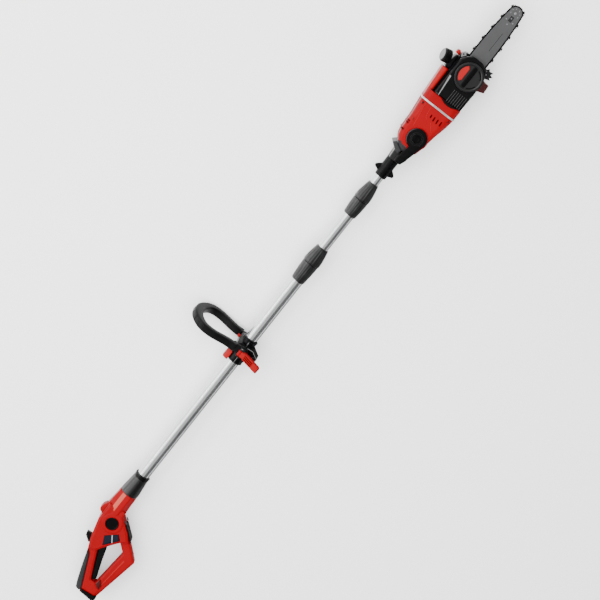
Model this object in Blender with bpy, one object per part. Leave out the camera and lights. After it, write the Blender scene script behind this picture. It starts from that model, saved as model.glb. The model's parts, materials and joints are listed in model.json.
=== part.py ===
"""Cordless telescoping pole saw, lying on its left side.

Built in tool coordinates: +X forward along the pole, +Y up from the pole when the saw is held,
+Z to the tool's right. X = 0 is the front rim of the rear tube collar and the pole's axis is
Y = Z = 0. One empty carries every piece and moves the tool so that the box of the whole saw is
centred on the origin and its lowest point is at Z = 0. Units are metres.
"""
import math

import bmesh
import bpy
from mathutils import Matrix, Vector

# ---------------------------------------------------------------- driving dimensions
BOX_CENTRE_X = 0.6294
BOX_CENTRE_Y = 0.0200
AXIS_HEIGHT = 0.05796

GAP = 0.0003
ROUND_STEPS = 32
SMALL_STEPS = 20

# pole
LOWER_TUBE_R = 0.0180
MID_TUBE_R = 0.01525
UPPER_TUBE_R = 0.0125
TUBE_WALL = 0.0015
LOWER_TUBE_REAR = -0.095
LOWER_TUBE_FRONT = 0.772
MID_TUBE_REAR = 0.190
MID_TUBE_FRONT = 0.995
UPPER_TUBE_REAR = 0.440
UPPER_TUBE_FRONT = 1.118
CABLE_R = 0.0075
CABLE_REAR = -0.085
CABLE_FRONT = 1.100

# twist locks: start of the base, joint between base and nut, front of the nut
LOWER_LOCK = (0.714, 0.775, 0.829)
UPPER_LOCK = (0.944, 0.996, 1.0525)

# rear handle
HANDLE_DEPTH = 0.026
GRIP_DEPTH = 0.0175
STRUT_DEPTH = 0.0140
SHELL_WALL = 0.0030
COLLAR_REAR = -0.0670
COLLAR_REAR_R = 0.0270
COLLAR_FRONT_R = 0.0210
TRIGGER_PIVOT = (-0.2480, -0.0300)
LOCK_OFF_CENTRE = (-0.2440, 0.0140)

# front handle
CLAMP_REAR = 0.424
CLAMP_FRONT = 0.500
FRONT_HANDLE_X = 0.4795
LOOP_YAW = math.radians(-19.0)
LINER_R = 0.0200
SLEEVE_R = 0.0232
BLOCK_SIDE = 0.0300
WEDGE = [(-0.0168, -0.0030), (-0.0168, -0.0200), (-0.0060, -0.0455), (0.0020, -0.0455), (0.0173, -0.0225),
         (0.0173, -0.0030)]
WEDGE_LOW = 0.0040
FLAP = [(0.0277, -0.0062), (0.0352, -0.0062), (0.0352, 0.0090), (0.0290, 0.0165), (0.0225, 0.0180),
        (0.0187, 0.0180), (0.0215, 0.0150), (0.0262, 0.0080)]
FOOT_THICK = 0.0085
LOOP_HALF_WIDTH = 0.0510
LOOP_TOP = 0.1680
LOOP_STRAP_HALF = 0.0128
LOOP_STRAP_THICK = 0.0085
LEVER_PIN_Y = 0.0050
LEVER_PIN_Z = 0.0470
LEVER_LENGTH = 0.0700
LEVER_SLANT = math.radians(13.0)

# head
HUB_X = 1.220
HUB_Y = -0.011
HUB_R = 0.0285
BULGE_R = 0.0500
EAR_INNER = 0.0383
EAR_OUTER = 0.0455
PIVOT_R = 0.0060
BUTTON_R = 0.0120
BUTTON_SEAT = 0.0410
RING_X = 1.3140
RING_THICK = 0.0050
DRIVE_Y = -0.0115
MOTOR_Z = -0.0110
SPROCKET_X = 1.4000
BAR_Z = 0.0270
BAR_THICK = 0.0040
BAR_TIP = 1.6495
CHAIN_THICK = 0.0058
CHAIN_WIDTH = 0.0068
KNOB_X = 1.4310
KNOB_Y = -0.0180
KNOB_R = 0.0400
OIL_CAP_CENTRE = (1.4400, 0.0520, 0.0080)
OIL_CAP_AXIS = Vector((-0.20, 0.93, 0.30)).normalized()
OIL_CAP_R = 0.0190
OIL_CAP_HEIGHT = 0.0230


# ---------------------------------------------------------------- scene and materials
def clear_scene():
    for obj in list(bpy.data.objects):
        bpy.data.objects.remove(obj, do_unlink=True)


def make_material(name, colour, roughness, metallic=0.0):
    mat = bpy.data.materials.new(name)
    mat.use_nodes = True
    shader = mat.node_tree.nodes["Principled BSDF"]
    shader.inputs["Base Color"].default_value = (*colour, 1.0)
    shader.inputs["Roughness"].default_value = roughness
    shader.inputs["Metallic"].default_value = metallic
    return mat


clear_scene()
FRAME = bpy.data.objects.new("tool_frame", None)
bpy.context.collection.objects.link(FRAME)
FRAME.location = (-BOX_CENTRE_X, -BOX_CENTRE_Y, AXIS_HEIGHT)

LOOKS = {
    "red": ((0.60, 0.010, 0.008), 0.28, 0.0),
    "black": ((0.012, 0.012, 0.013), 0.35, 0.0),
    "soft": ((0.045, 0.045, 0.048), 0.70, 0.0),
    "grey": ((0.11, 0.11, 0.115), 0.45, 0.0),
    "light": ((0.42, 0.42, 0.42), 0.40, 0.0),
    "aluminium": ((0.76, 0.77, 0.78), 0.28, 1.0),
    "steel": ((0.33, 0.33, 0.34), 0.34, 1.0),
    "dark_steel": ((0.06, 0.06, 0.065), 0.40, 1.0),
    "maroon": ((0.16, 0.008, 0.010), 0.45, 0.0),
    "cable": ((0.02, 0.02, 0.02), 0.60, 0.0),
}


# ---------------------------------------------------------------- modelling helpers
def add_object(name, mesh, look, origin=(0.0, 0.0, 0.0)):
    """Link a mesh made in tool coordinates, with its origin moved to a chosen point."""
    obj = bpy.data.objects.new(name, mesh)
    bpy.context.collection.objects.link(obj)
    mesh.transform(Matrix.Translation(-Vector(origin)))
    obj.parent = FRAME
    obj.location = origin
    if look is None:
        obj.hide_render = True
        obj.display_type = "WIRE"
    else:
        colour, roughness, metallic = LOOKS[look]
        mesh.materials.append(make_material(name, colour, roughness, metallic))
    return obj


def mesh_from(bm, name, smooth=False):
    bmesh.ops.remove_doubles(bm, verts=bm.verts, dist=0.000001)
    bmesh.ops.recalc_face_normals(bm, faces=bm.faces)
    mesh = bpy.data.meshes.new(name)
    bm.to_mesh(mesh)
    bm.free()
    if smooth:
        mesh.shade_smooth()
        mesh.set_sharp_from_angle(angle=math.radians(35.0))
    return mesh


def axis_matrix(centre, axis, roll_towards=Vector((0.0, 1.0, 0.0))):
    """Matrix whose local X runs along the axis and whose local Y leans to a chosen side."""
    along = Vector(axis).normalized()
    side = roll_towards - along * roll_towards.dot(along)
    side.normalize()
    third = along.cross(side)
    turn = Matrix((along, side, third)).transposed().to_4x4()
    return Matrix.Translation(Vector(centre)) @ turn


def turned(name, profile, look, centre=(0.0, 0.0, 0.0), axis=(1.0, 0.0, 0.0), steps=ROUND_STEPS,
           origin=(0.0, 0.0, 0.0)):
    """Closed solid of revolution; the profile is a closed loop of (along, radius) points."""
    bm = bmesh.new()
    rings = []
    for along, radius in profile:
        if radius == 0.0:
            rings.append([bm.verts.new((along, 0.0, 0.0))])
            continue
        ring = []
        for step in range(steps):
            angle = 2.0 * math.pi * (step + 0.5) / steps
            ring.append(bm.verts.new((along, radius * math.cos(angle), radius * math.sin(angle))))
        rings.append(ring)
    for first, second in zip(rings, rings[1:] + rings[:1]):
        if len(first) == 1 and len(second) == 1:
            continue
        for step in range(steps):
            following = (step + 1) % steps
            if len(first) == 1:
                bm.faces.new((first[0], second[step], second[following]))
            elif len(second) == 1:
                bm.faces.new((first[step], first[following], second[0]))
            else:
                bm.faces.new((first[step], first[following], second[following], second[step]))
    mostly_y = abs(Vector(axis).normalized().y) >= 0.9
    lean = Vector((1.0, 0.0, 0.0)) if mostly_y else Vector((0.0, 1.0, 0.0))
    bm.transform(axis_matrix(centre, axis, lean))
    return add_object(name, mesh_from(bm, name, smooth=True), look, origin)


def rod(name, start, length, radius, look, axis=(1.0, 0.0, 0.0), steps=SMALL_STEPS,
        origin=(0.0, 0.0, 0.0)):
    """Plain round bar from a start point along an axis."""
    profile = [(0.0, 0.0), (0.0, radius), (length, radius), (length, 0.0)]
    return turned(name, profile, look, start, axis, steps, origin)


def sleeve(name, rear, front, inner, outer, look, steps=ROUND_STEPS, origin=(0.0, 0.0, 0.0)):
    """Straight tube round the pole's axis."""
    profile = [(rear, inner), (rear, outer), (front, outer), (front, inner)]
    return turned(name, profile, look, steps=steps, origin=origin)


def prism_bm(outline, low, high, chamfer=0.0):
    """Flat outline in X and Y, raised from low to high along Z, with chamfered rims."""
    bm = bmesh.new()
    ring = [bm.verts.new((x, y, low)) for x, y in outline]
    base = bm.faces.new(ring)
    raised = bmesh.ops.extrude_face_region(bm, geom=[base])
    top_verts = [v for v in raised["geom"] if isinstance(v, bmesh.types.BMVert)]
    bmesh.ops.translate(bm, verts=top_verts, vec=(0.0, 0.0, high - low))
    bmesh.ops.recalc_face_normals(bm, faces=bm.faces)
    if chamfer > 0.0:
        for face in [f for f in bm.faces if abs(f.normal.z) > 0.99]:
            bmesh.ops.inset_region(bm, faces=[face], thickness=chamfer, depth=0.0)
            shift = -chamfer if face.normal.z > 0.0 else chamfer
            rim = {v for f in bm.faces for v in f.verts} - set(face.verts)
            level = face.verts[0].co.z
            outer = [v for v in rim if abs(v.co.z - level) < 0.0000001]
            bmesh.ops.translate(bm, verts=outer, vec=(0.0, 0.0, shift))
    return bm


def prism(name, outline, low, high, look, chamfer=0.0, origin=(0.0, 0.0, 0.0), smooth=False):
    return add_object(name, mesh_from(prism_bm(outline, low, high, chamfer), name, smooth), look, origin)


def block(name, lows, highs, look, origin=(0.0, 0.0, 0.0)):
    outline = [(lows[0], lows[1]), (highs[0], lows[1]), (highs[0], highs[1]), (lows[0], highs[1])]
    return prism(name, outline, lows[2], highs[2], look, origin=origin)


def circle_points(centre, radius, start, end, steps):
    """Points of an arc, angles in degrees, both ends included."""
    points = []
    for step in range(steps + 1):
        angle = math.radians(start + (end - start) * step / steps)
        points.append((centre[0] + radius * math.cos(angle), centre[1] + radius * math.sin(angle)))
    return points


def rounded_section(low, high, depth_low, depth_high, corner, steps=4):
    """Rounded rectangle of (y, z) points, counter-clockwise."""
    points = []
    corners = (
        (high - corner, depth_high - corner, 0.0),
        (low + corner, depth_high - corner, 90.0),
        (low + corner, depth_low + corner, 180.0),
        (high - corner, depth_low + corner, 270.0),
    )
    for y, z, start in corners:
        points.extend(circle_points((y, z), corner, start, start + 90.0, steps))
    return points


def loft(name, sections, look, origin=(0.0, 0.0, 0.0)):
    """Solid through (x, points of y and z) sections that all have the same point count."""
    bm = bmesh.new()
    rings = [[bm.verts.new((x, y, z)) for y, z in points] for x, points in sections]
    count = len(rings[0])
    for first, second in zip(rings, rings[1:]):
        for step in range(count):
            following = (step + 1) % count
            bm.faces.new((first[step], first[following], second[following], second[step]))
    bm.faces.new(rings[0])
    bm.faces.new(rings[-1])
    return add_object(name, mesh_from(bm, name, smooth=True), look, origin)


def combine(target, tool, operation, solver="EXACT"):
    modifier = target.modifiers.new(tool.name, "BOOLEAN")
    modifier.operation = operation
    modifier.object = tool
    modifier.solver = solver
    tool.hide_render = True
    tool.display_type = "WIRE"


def cut(target, tool):
    combine(target, tool, "DIFFERENCE")


def join(target, tool):
    combine(target, tool, "UNION")


def keep_inside(target, tool):
    combine(target, tool, "INTERSECT")


# ---------------------------------------------------------------- rear handle
NECK_TOP = [(-0.069, 0.0265), (-0.128, 0.0310), (-0.138, 0.0385), (-0.151, 0.0400)]
BACK_LINE = [(-0.180, 0.0250), (-0.232, 0.0110), (-0.2660, -0.0020)]
OPENING_TOP = [(-0.2620, -0.0250), (-0.2430, -0.0350), (-0.2000, -0.0660)]
STRUT_CORNER = (-0.2280, -0.1365)
STRUT_TOP = [(-0.1640, -0.0683), (-0.1480, -0.0480)]
NECK_CORNER = [(-0.1340, -0.0306), (-0.1100, -0.0275), (-0.069, -0.0265)]
OPENING_LOW = [(-0.2240, -0.0930), (-0.3410, -0.0840), (-0.3440, -0.0670)]
SOFT_LINE = [(-0.2840, -0.0195), (-0.3825, -0.0615)]
STRUT_REAR = (-0.3785, -0.1100)


def handle_blank(name, side):
    """One moulded half of the rear handle: body, grip and the two struts round the opening."""
    overlap = -side * 0.0060
    ends = sorted((overlap, side * HANDLE_DEPTH))
    body_outline = NECK_TOP + BACK_LINE + OPENING_TOP + [(-0.1860, -0.0860)] + STRUT_TOP + NECK_CORNER
    shell = prism(name, body_outline, *ends, "red", chamfer=0.0035, smooth=True)
    ends = sorted((overlap, side * GRIP_DEPTH))
    grip_outline = [(-0.2560, -0.0080)] + SOFT_LINE
    grip_outline += [(-0.3792, -0.1040), (-0.3560, -0.1080), (-0.3480, -0.0840)]
    grip_outline += [OPENING_LOW[2], (-0.2590, -0.0320)]
    grip = prism(name + "_grip", grip_outline, *ends, None, chamfer=0.0025)
    ends = sorted((overlap, side * STRUT_DEPTH))
    strut_outline = [(-0.1700, -0.0560), (-0.1700, -0.0740), STRUT_CORNER, STRUT_REAR]
    strut_outline += [(-0.3600, -0.0720), OPENING_LOW[1], OPENING_LOW[0], (-0.1960, -0.0610)]
    struts = prism(name + "_struts", strut_outline, *ends, None, chamfer=0.0025)
    join(shell, grip)
    join(shell, struts)
    return shell


def build_rear_handle():
    shells = {"handle_shell_right": 1.0, "handle_shell_left": -1.0}
    tube_hole = rod("cut_handle_tube", (-0.0980, 0.0, 0.0), 0.030, LOWER_TUBE_R + GAP, None,
                    steps=ROUND_STEPS)
    hollow_outline = [(-0.1020, 0.0165), (-0.1500, 0.0300), (-0.1800, 0.0170), (-0.2300, 0.0030),
                      (-0.2590, -0.0095), (-0.2590, -0.0215), (-0.2440, -0.0295),
                      (-0.2010, -0.0595), (-0.1855, -0.0695), (-0.1565, -0.0500), (-0.1385, -0.0250),
                      (-0.1020, -0.0165)]
    hollow_depth = HANDLE_DEPTH - SHELL_WALL
    hollow = prism("cut_handle_hollow", hollow_outline, -hollow_depth, hollow_depth, None)
    trigger_outline = [(-0.2600, -0.0180), (-0.3520, -0.0540), (-0.3470, -0.0720), (-0.2300, -0.0500),
                       (-0.2400, -0.0260)]
    trigger_slot = prism("cut_trigger_slot", trigger_outline, -0.0087, 0.0087, None)
    button_outline = [(-0.2300, 0.0300), (-0.2280, -0.0040), (-0.2520, -0.0120), (-0.2620, 0.0200)]
    button_slot = prism("cut_lock_off_slot", button_outline, -0.0078, 0.0078, None)
    disc_seat = rod("cut_disc_seat", (-0.1640, -0.0120, HANDLE_DEPTH - 0.0015), 0.010, 0.0195, None,
                    axis=(0.0, 0.0, 1.0), steps=ROUND_STEPS)
    window_outline = [(-0.2062, -0.0175), (-0.1785, -0.0485), (-0.1935, -0.0625), (-0.2340, -0.0305)]
    window_seat = prism("cut_window_seat", window_outline, HANDLE_DEPTH - 0.0015, 0.040, None)
    for name, side in shells.items():
        shell = handle_blank(name, side)
        limits = sorted((side * GAP / 2.0, side * 0.060))
        keep_inside(shell, block(f"keep_{name}", (-0.45, -0.20, limits[0]), (0.0, 0.10, limits[1]), None))
        for tool in (tube_hole, hollow, trigger_slot, button_slot):
            cut(shell, tool)
        if side > 0.0:
            cut(shell, disc_seat)
            cut(shell, window_seat)

    rod("side_cap", (-0.1640, -0.0120, HANDLE_DEPTH - 0.0012), 0.0027, 0.0190, "black",
        axis=(0.0, 0.0, 1.0), steps=ROUND_STEPS)
    centre = (-0.2030, -0.0398)
    pane = [(centre[0] + 0.97 * (x - centre[0]), centre[1] + 0.97 * (y - centre[1]))
            for x, y in window_outline]
    prism("side_window", pane, HANDLE_DEPTH - 0.0012, HANDLE_DEPTH + 0.0002, "black")

    soft = [(-0.2668, -0.0026), (-0.2848, -0.0192), (-0.3832, -0.0612), (-0.3915, -0.0600),
            (-0.3890, -0.0450), (-0.3700, -0.0370), (-0.3180, -0.0185)]
    prism("grip_overmould", soft, -GRIP_DEPTH, GRIP_DEPTH, "soft", chamfer=0.0040, smooth=True)
    cap = [(-0.3828, -0.0620), (-0.3794, -0.1073), (-0.3784, -0.1113), (-0.3900, -0.1125),
           (-0.3965, -0.1050), (-0.3920, -0.0605)]
    prism("handle_end_cap", cap, -GRIP_DEPTH, GRIP_DEPTH, "black", chamfer=0.0025, smooth=True)

    collar = [(COLLAR_REAR - 0.0016, LOWER_TUBE_R + GAP), (COLLAR_REAR - 0.0016, COLLAR_REAR_R),
              (COLLAR_REAR + 0.0110, COLLAR_REAR_R - 0.0003), (-0.004, COLLAR_FRONT_R),
              (0.0, COLLAR_FRONT_R - 0.0010), (0.0, LOWER_TUBE_R + GAP)]
    turned("tube_collar", collar, "grey")

    trigger = [(-0.2395, -0.0260), (-0.2375, -0.0470), (-0.2850, -0.0610), (-0.3330, -0.0785),
               (-0.3430, -0.0735), (-0.3400, -0.0655), (-0.2600, -0.0320), (-0.2540, -0.0240)]
    pivot = (*TRIGGER_PIVOT, 0.0)
    prism("trigger", trigger, -0.0080, 0.0080, "black", chamfer=0.0020, origin=pivot, smooth=True)
    spring_axis = Vector((-0.33, 0.94, 0.0)).normalized()
    rod("trigger_spring", (-0.2900, -0.0440, 0.0), 0.0100, 0.0030, "steel", axis=spring_axis, steps=12)

    button = [(-0.2318, 0.0118), (-0.2320, 0.0265), (-0.2440, 0.0240), (-0.2575, 0.0060),
              (-0.2560, 0.0010), (-0.2480, -0.0030), (-0.2330, 0.0010)]
    prism("lock_off_button", button, -0.0072, 0.0072, "black", chamfer=0.0015,
          origin=(*LOCK_OFF_CENTRE, 0.0), smooth=True)
    block("switch_module", (-0.2280, -0.0400, -0.0140), (-0.1900, -0.0080, 0.0140), "black")
    block("battery_contacts", (-0.1780, -0.0480, -0.0120), (-0.1620, -0.0340, 0.0120), "black")
    rail = [(-0.1478, -0.0484), (-0.1430, -0.0500), (-0.1770, -0.0905), (-0.1870, -0.0925),
            (-0.1838, -0.0895), (-0.1636, -0.0690)]
    prism("battery_rail", rail, -0.0200, 0.0200, "black", chamfer=0.0010)


# ---------------------------------------------------------------- pole and twist locks
def build_pole():
    sleeve("lower_tube", LOWER_TUBE_REAR, LOWER_TUBE_FRONT, LOWER_TUBE_R - TUBE_WALL, LOWER_TUBE_R,
           "aluminium")
    sleeve("mid_tube", MID_TUBE_REAR, MID_TUBE_FRONT, MID_TUBE_R - TUBE_WALL, MID_TUBE_R, "aluminium")
    sleeve("upper_tube", UPPER_TUBE_REAR, UPPER_TUBE_FRONT, UPPER_TUBE_R - TUBE_WALL, UPPER_TUBE_R,
           "aluminium")
    bush("mid_guide_bush", MID_TUBE_REAR, MID_TUBE_R, LOWER_TUBE_R - TUBE_WALL)
    bush("upper_guide_bush", UPPER_TUBE_REAR, UPPER_TUBE_R, MID_TUBE_R - TUBE_WALL)
    rod("coiled_cable", (CABLE_REAR, 0.0, 0.0), CABLE_FRONT - CABLE_REAR, CABLE_R, "cable", steps=12)
    twist_lock("lower", LOWER_LOCK, LOWER_TUBE_FRONT, LOWER_TUBE_R, MID_TUBE_R,
               (0.0200, 0.0235), (0.0250, 0.0180))
    twist_lock("upper", UPPER_LOCK, MID_TUBE_FRONT, MID_TUBE_R, UPPER_TUBE_R,
               (0.0190, 0.0222), (0.0230, 0.0150))


def bush(name, rear, tube_r, bore_r):
    """Plastic plug on the rear end of an inner tube that guides it in the outer one."""
    profile = [(rear - 0.006, CABLE_R + 0.0008), (rear - 0.006, bore_r - GAP), (rear + 0.030, bore_r - GAP),
               (rear + 0.030, tube_r + GAP), (rear - GAP, tube_r + GAP), (rear - GAP, CABLE_R + 0.0008)]
    turned(name, profile, "black")


def twist_lock(prefix, stations, tube_front, outer_r, inner_r, base_radii, nut_radii):
    """Base clamped on the outer tube, split collet on the inner tube, and the nut that closes it."""
    rear, joint, front = stations
    nose_front = joint + 0.018
    nose_r = outer_r + 0.0018
    bore = outer_r + GAP
    step = tube_front + GAP
    base = [(rear, bore), (rear, base_radii[0] - 0.001), (rear + 0.002, base_radii[0]),
            (joint - GAP, base_radii[1]), (joint - GAP, nose_r), (nose_front, nose_r),
            (nose_front, inner_r + 0.0030), (step, inner_r + 0.0030), (step, bore)]
    turned(f"{prefix}_lock_base", base, "black")
    collet = [(joint + 0.001, inner_r + GAP), (joint + 0.001, inner_r + 0.0026),
              (nose_front + 0.001, inner_r + 0.0026), (nose_front + 0.018, inner_r + 0.0014),
              (nose_front + 0.018, inner_r + GAP)]
    turned(f"{prefix}_lock_collet", collet, "light")
    nut = [(joint + GAP, nose_r + GAP), (joint + GAP, nut_radii[0]), (joint + 0.006, nut_radii[0]),
           (front - 0.002, nut_radii[1] + 0.0005), (front, nut_radii[1]), (front, inner_r + GAP),
           (front - 0.010, inner_r + GAP), (nose_front + 0.019, inner_r + 0.0019),
           (nose_front + 0.0015, inner_r + 0.0032), (nose_front + GAP, nose_r + GAP)]
    turned(f"{prefix}_lock_nut", nut, "black")


# ---------------------------------------------------------------- front handle
YAW = Matrix.Translation((FRONT_HANDLE_X, 0.0, 0.0)) @ Matrix.Rotation(LOOP_YAW, 4, "Y")


def yawed(obj, pivot=(0.0, 0.0, 0.0)):
    """Turn a piece built in the front handle's own axes into tool coordinates."""
    obj.data.transform(Matrix.Translation(-Vector(pivot)))
    obj.location = YAW @ Vector(pivot)
    obj.rotation_euler = (0.0, LOOP_YAW, 0.0)
    return obj


def loop_route():
    """Centre line of the loop above its feet: a teardrop in the handle's own Y and Z."""
    half = [(0.0392, 0.0255), (0.0385, 0.0420), (0.0410, 0.0600), (0.0465, 0.0800),
            (LOOP_HALF_WIDTH, 0.1000), (LOOP_HALF_WIDTH + 0.0003, 0.1200), (0.0465, 0.1380),
            (0.0345, 0.1535), (0.0180, 0.1648)]
    near = [Vector((0.0, y, z)) for z, y in half]
    top = [Vector((0.0, LOOP_TOP, 0.0))]
    far = [Vector((0.0, y, -z)) for z, y in reversed(half)]
    return near + top + far


def build_front_handle():
    sleeve("clamp_liner", CLAMP_REAR, CLAMP_FRONT, LOWER_TUBE_R + GAP, LINER_R, "soft")
    bore = rod("cut_clamp_bore", (0.40, 0.0, 0.0), 0.13, LINER_R + GAP, None, steps=ROUND_STEPS)
    for name, side in (("clamp_half_upper", 1.0), ("clamp_half_lower", -1.0)):
        outer = rod(name, (CLAMP_REAR + 0.002, 0.0, 0.0), CLAMP_FRONT - CLAMP_REAR - 0.004, SLEEVE_R,
                    "black", steps=ROUND_STEPS)
        reach = 0.0270 if side > 0.0 else 0.0125
        heel = [(-0.017, -0.004), (-0.017, 0.6 * reach), (-0.011, reach), (0.011, reach),
                (0.017, 0.6 * reach), (0.017, -0.004)]
        lump = prism(name + "_block", [(x, side * y) for x, y in heel], -BLOCK_SIDE, BLOCK_SIDE, None)
        join(outer, yawed(lump))
        if side < 0.0:
            wedge = prism("join_clamp_wedge", WEDGE, WEDGE_LOW, BLOCK_SIDE - 0.0004, None)
            join(outer, yawed(wedge))
        cut(outer, bore)
        limits = sorted((side * GAP, side * 0.080))
        window = block(f"keep_{name}", (0.35, limits[0], -0.08), (0.60, limits[1], 0.08), None)
        keep_inside(outer, window)
    upper = bpy.data.objects["clamp_half_upper"]
    lower = bpy.data.objects["clamp_half_lower"]

    button_hole = yawed(rod("cut_angle_button", (0.0, 0.0225, -0.0215), 0.02, 0.0050, None,
                            axis=(0.0, 1.0, 0.0)))
    cut(upper, button_hole)
    button_seat = (0.0, 0.0268, -0.0215)
    yawed(rod("angle_button", (0.0, 0.0262, -0.0215), 0.0078, 0.0046, "red", axis=(0.0, 1.0, 0.0)),
          button_seat)

    for name, side in (("near_pivot", 1.0), ("far_pivot", -1.0)):
        start = BLOCK_SIDE - 0.0050
        hole = yawed(rod(f"cut_{name}", (0.0, 0.0, side * start), 0.03, 0.0073, None,
                         axis=(0.0, 0.0, side)))
        cut(upper, hole)
        cut(lower, hole)
        length = BLOCK_SIDE + GAP + FOOT_THICK + 0.0012 - (start + GAP)
        stub = rod(name, (0.0, 0.0, side * (start + GAP)), length, 0.0070, "dark_steel",
                   axis=(0.0, 0.0, side))
        if side > 0.0:
            head_low = start + GAP + length - 0.0006
            for number, place in enumerate((-0.0138, 0.0108), 1):
                ear = block(f"join_pivot_ear_{number}", (place, -0.0045, head_low),
                            (place + 0.0030, 0.0100, LEVER_PIN_Z + 0.0050), None)
                join(stub, ear)
            plate = block("join_pivot_plate", (-0.0138, -0.0045, head_low),
                          (0.0138, 0.0045, head_low + 0.0012), None)
            join(stub, plate)
            pin_hole = rod("cut_lever_pin", (-0.02, LEVER_PIN_Y, LEVER_PIN_Z), 0.04, 0.0025, None)
            cut(stub, pin_hole)
            for tool in ("join_pivot_ear_1", "join_pivot_ear_2", "join_pivot_plate", "cut_lever_pin"):
                yawed(bpy.data.objects[tool])
        yawed(stub)
    yawed(rod("lever_pin", (-0.0130, LEVER_PIN_Y, LEVER_PIN_Z), 0.0260, 0.0022, "steel"))

    build_clamp_lever()
    build_loop_handle()

    tab_pivot = (-0.0205, 0.0300, 0.0)
    tab = [(-0.0245, 0.0268), (-0.0180, 0.0262), (-0.0165, 0.0300), (-0.0195, 0.0340), (-0.0300, 0.0345),
           (-0.0360, 0.0345), (-0.0360, 0.0262)]
    tab_body = yawed(prism("slide_lock_tab", tab, -0.0075, 0.0075, "red", chamfer=0.0012), tab_pivot)
    join(tab_body, loft("join_tab_flap", [(0.4200, FLAP), (0.4480, FLAP)], None))
    for number, place in enumerate((-0.0112, 0.0082), 1):
        ear_outline = [(-0.0165, 0.0200), (-0.0250, 0.0200), (-0.0250, 0.0325), (-0.0180, 0.0335),
                       (-0.0120, 0.0270), (-0.0120, 0.0200)]
        ear = prism(f"join_tab_ear_{number}", ear_outline, place, place + 0.0030, None)
        yawed(ear)
        join(upper, ear)
    relief = yawed(block("cut_tab_relief", (-0.0600, 0.0236, -0.0079), (-0.0150, 0.0400, 0.0079), None))
    cut(upper, relief)

    seat = yawed(rod("cut_clamp_bolt", (0.0, -0.0360, -0.0500), 0.100, 0.0033, None, axis=(0.0, 0.0, 1.0)))
    cut(lower, seat)
    head_top = WEDGE_LOW - GAP
    bolt = [(head_top - 0.0030, 0.0), (head_top - 0.0030, 0.0050), (head_top, 0.0050),
            (head_top, 0.0030), (BLOCK_SIDE + 0.0040, 0.0030), (BLOCK_SIDE + 0.0040, 0.0)]
    yawed(turned("clamp_bolt", bolt, "dark_steel", (0.0, -0.0360, 0.0), (0.0, 0.0, 1.0), SMALL_STEPS))


def lever_prism(name, outline, half_width, slant, look):
    """Slab of the lever: the outline lies across the lever's width, which leans by the slant."""
    bm = prism_bm(outline, -half_width, half_width, 0.0)
    for vert in bm.verts:
        vert.co = Vector((-vert.co.z, vert.co.y, vert.co.x))
        if slant:
            vert.co.x += (vert.co.y + 0.0110) * slant
    bm.transform(Matrix.Translation((0.0, LEVER_PIN_Y, LEVER_PIN_Z)))
    return add_object(name, mesh_from(bm, name, True), look)


def build_clamp_lever():
    """Long ribbed cam lever on the near side, hinged at its upper end."""
    reach = LEVER_LENGTH
    nose = circle_points((0.0, 0.0), 0.0058, 0.0, 180.0, 8)
    knuckle = nose + [(-0.0051, -0.0180), (0.0051, -0.0180)]
    blade = [(0.0058, -0.0110), (-0.0052, -0.0110), (-0.0050, -0.6 * reach), (-0.0035, -reach),
             (0.0035, -reach), (0.0058, -0.6 * reach)]
    lever = lever_prism("clamp_lever", knuckle, 0.0092, 0.0, "red")
    join(lever, lever_prism("join_lever_blade", blade, 0.0112, math.tan(LEVER_SLANT), None))
    hole = rod("cut_lever_bore", (-0.02, LEVER_PIN_Y, LEVER_PIN_Z), 0.04, 0.0025, None)
    cut(lever, hole)
    yawed(lever, (0.0, LEVER_PIN_Y, LEVER_PIN_Z))
    yawed(hole)
    yawed(bpy.data.objects["join_lever_blade"])


def smooth_route(points, steps):
    """Catmull-Rom curve through the points, ends included."""
    padded = [points[0] * 2.0 - points[1]] + points + [points[-1] * 2.0 - points[-2]]
    route = []
    for index in range(1, len(padded) - 2):
        before, start, end, after = padded[index - 1:index + 3]
        for step in range(steps):
            t = step / steps
            route.append(0.5 * (2.0 * start + (end - before) * t
                                + (2.0 * before - 5.0 * start + 4.0 * end - after) * t * t
                                + (3.0 * start - before - 3.0 * end + after) * t * t * t))
    route.append(padded[-2])
    return route


def build_loop_handle():
    """Closed loop with two flat feet that straddle the clamp and turn on its pivots."""
    route = smooth_route(loop_route(), 3)
    sides = 12
    bm = bmesh.new()
    rings = []
    for index, place in enumerate(route):
        ahead = route[min(index + 1, len(route) - 1)]
        behind = route[max(index - 1, 0)]
        along = (ahead - behind).normalized()
        across = Vector((1.0, 0.0, 0.0))
        third = along.cross(across)
        ring = []
        for step in range(sides):
            angle = 2.0 * math.pi * step / sides
            ring.append(bm.verts.new(place + across * (LOOP_STRAP_HALF * math.cos(angle))
                                     + third * (LOOP_STRAP_THICK * math.sin(angle))))
        rings.append(ring)
    for first, second in zip(rings, rings[1:]):
        for step in range(sides):
            following = (step + 1) % sides
            bm.faces.new((first[step], first[following], second[following], second[step]))
    bm.faces.new(rings[0])
    bm.faces.new(rings[-1])
    origin = (0.0, 0.0, 0.0)
    loop = add_object("loop_handle", mesh_from(bm, "loop_handle", True), "black")
    for side in (1.0, -1.0):
        inner = BLOCK_SIDE + GAP
        ends = sorted((side * inner, side * (inner + FOOT_THICK)))
        foot = [(0.0120, 0.0320), (-0.0120, 0.0320)] + circle_points((0.0, 0.0), 0.0160, 165.0, 375.0, 14)
        plate = prism(f"join_foot_{ends[0] > 0.0}", foot, *ends, None, chamfer=0.0015)
        hole = rod(f"cut_foot_{ends[0] > 0.0}", (0.0, 0.0, side * 0.02), 0.04, 0.0073, None,
                   axis=(0.0, 0.0, side))
        join(loop, plate)
        cut(loop, hole)
        yawed(plate)
        yawed(hole)
    yawed(loop, origin)


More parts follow.
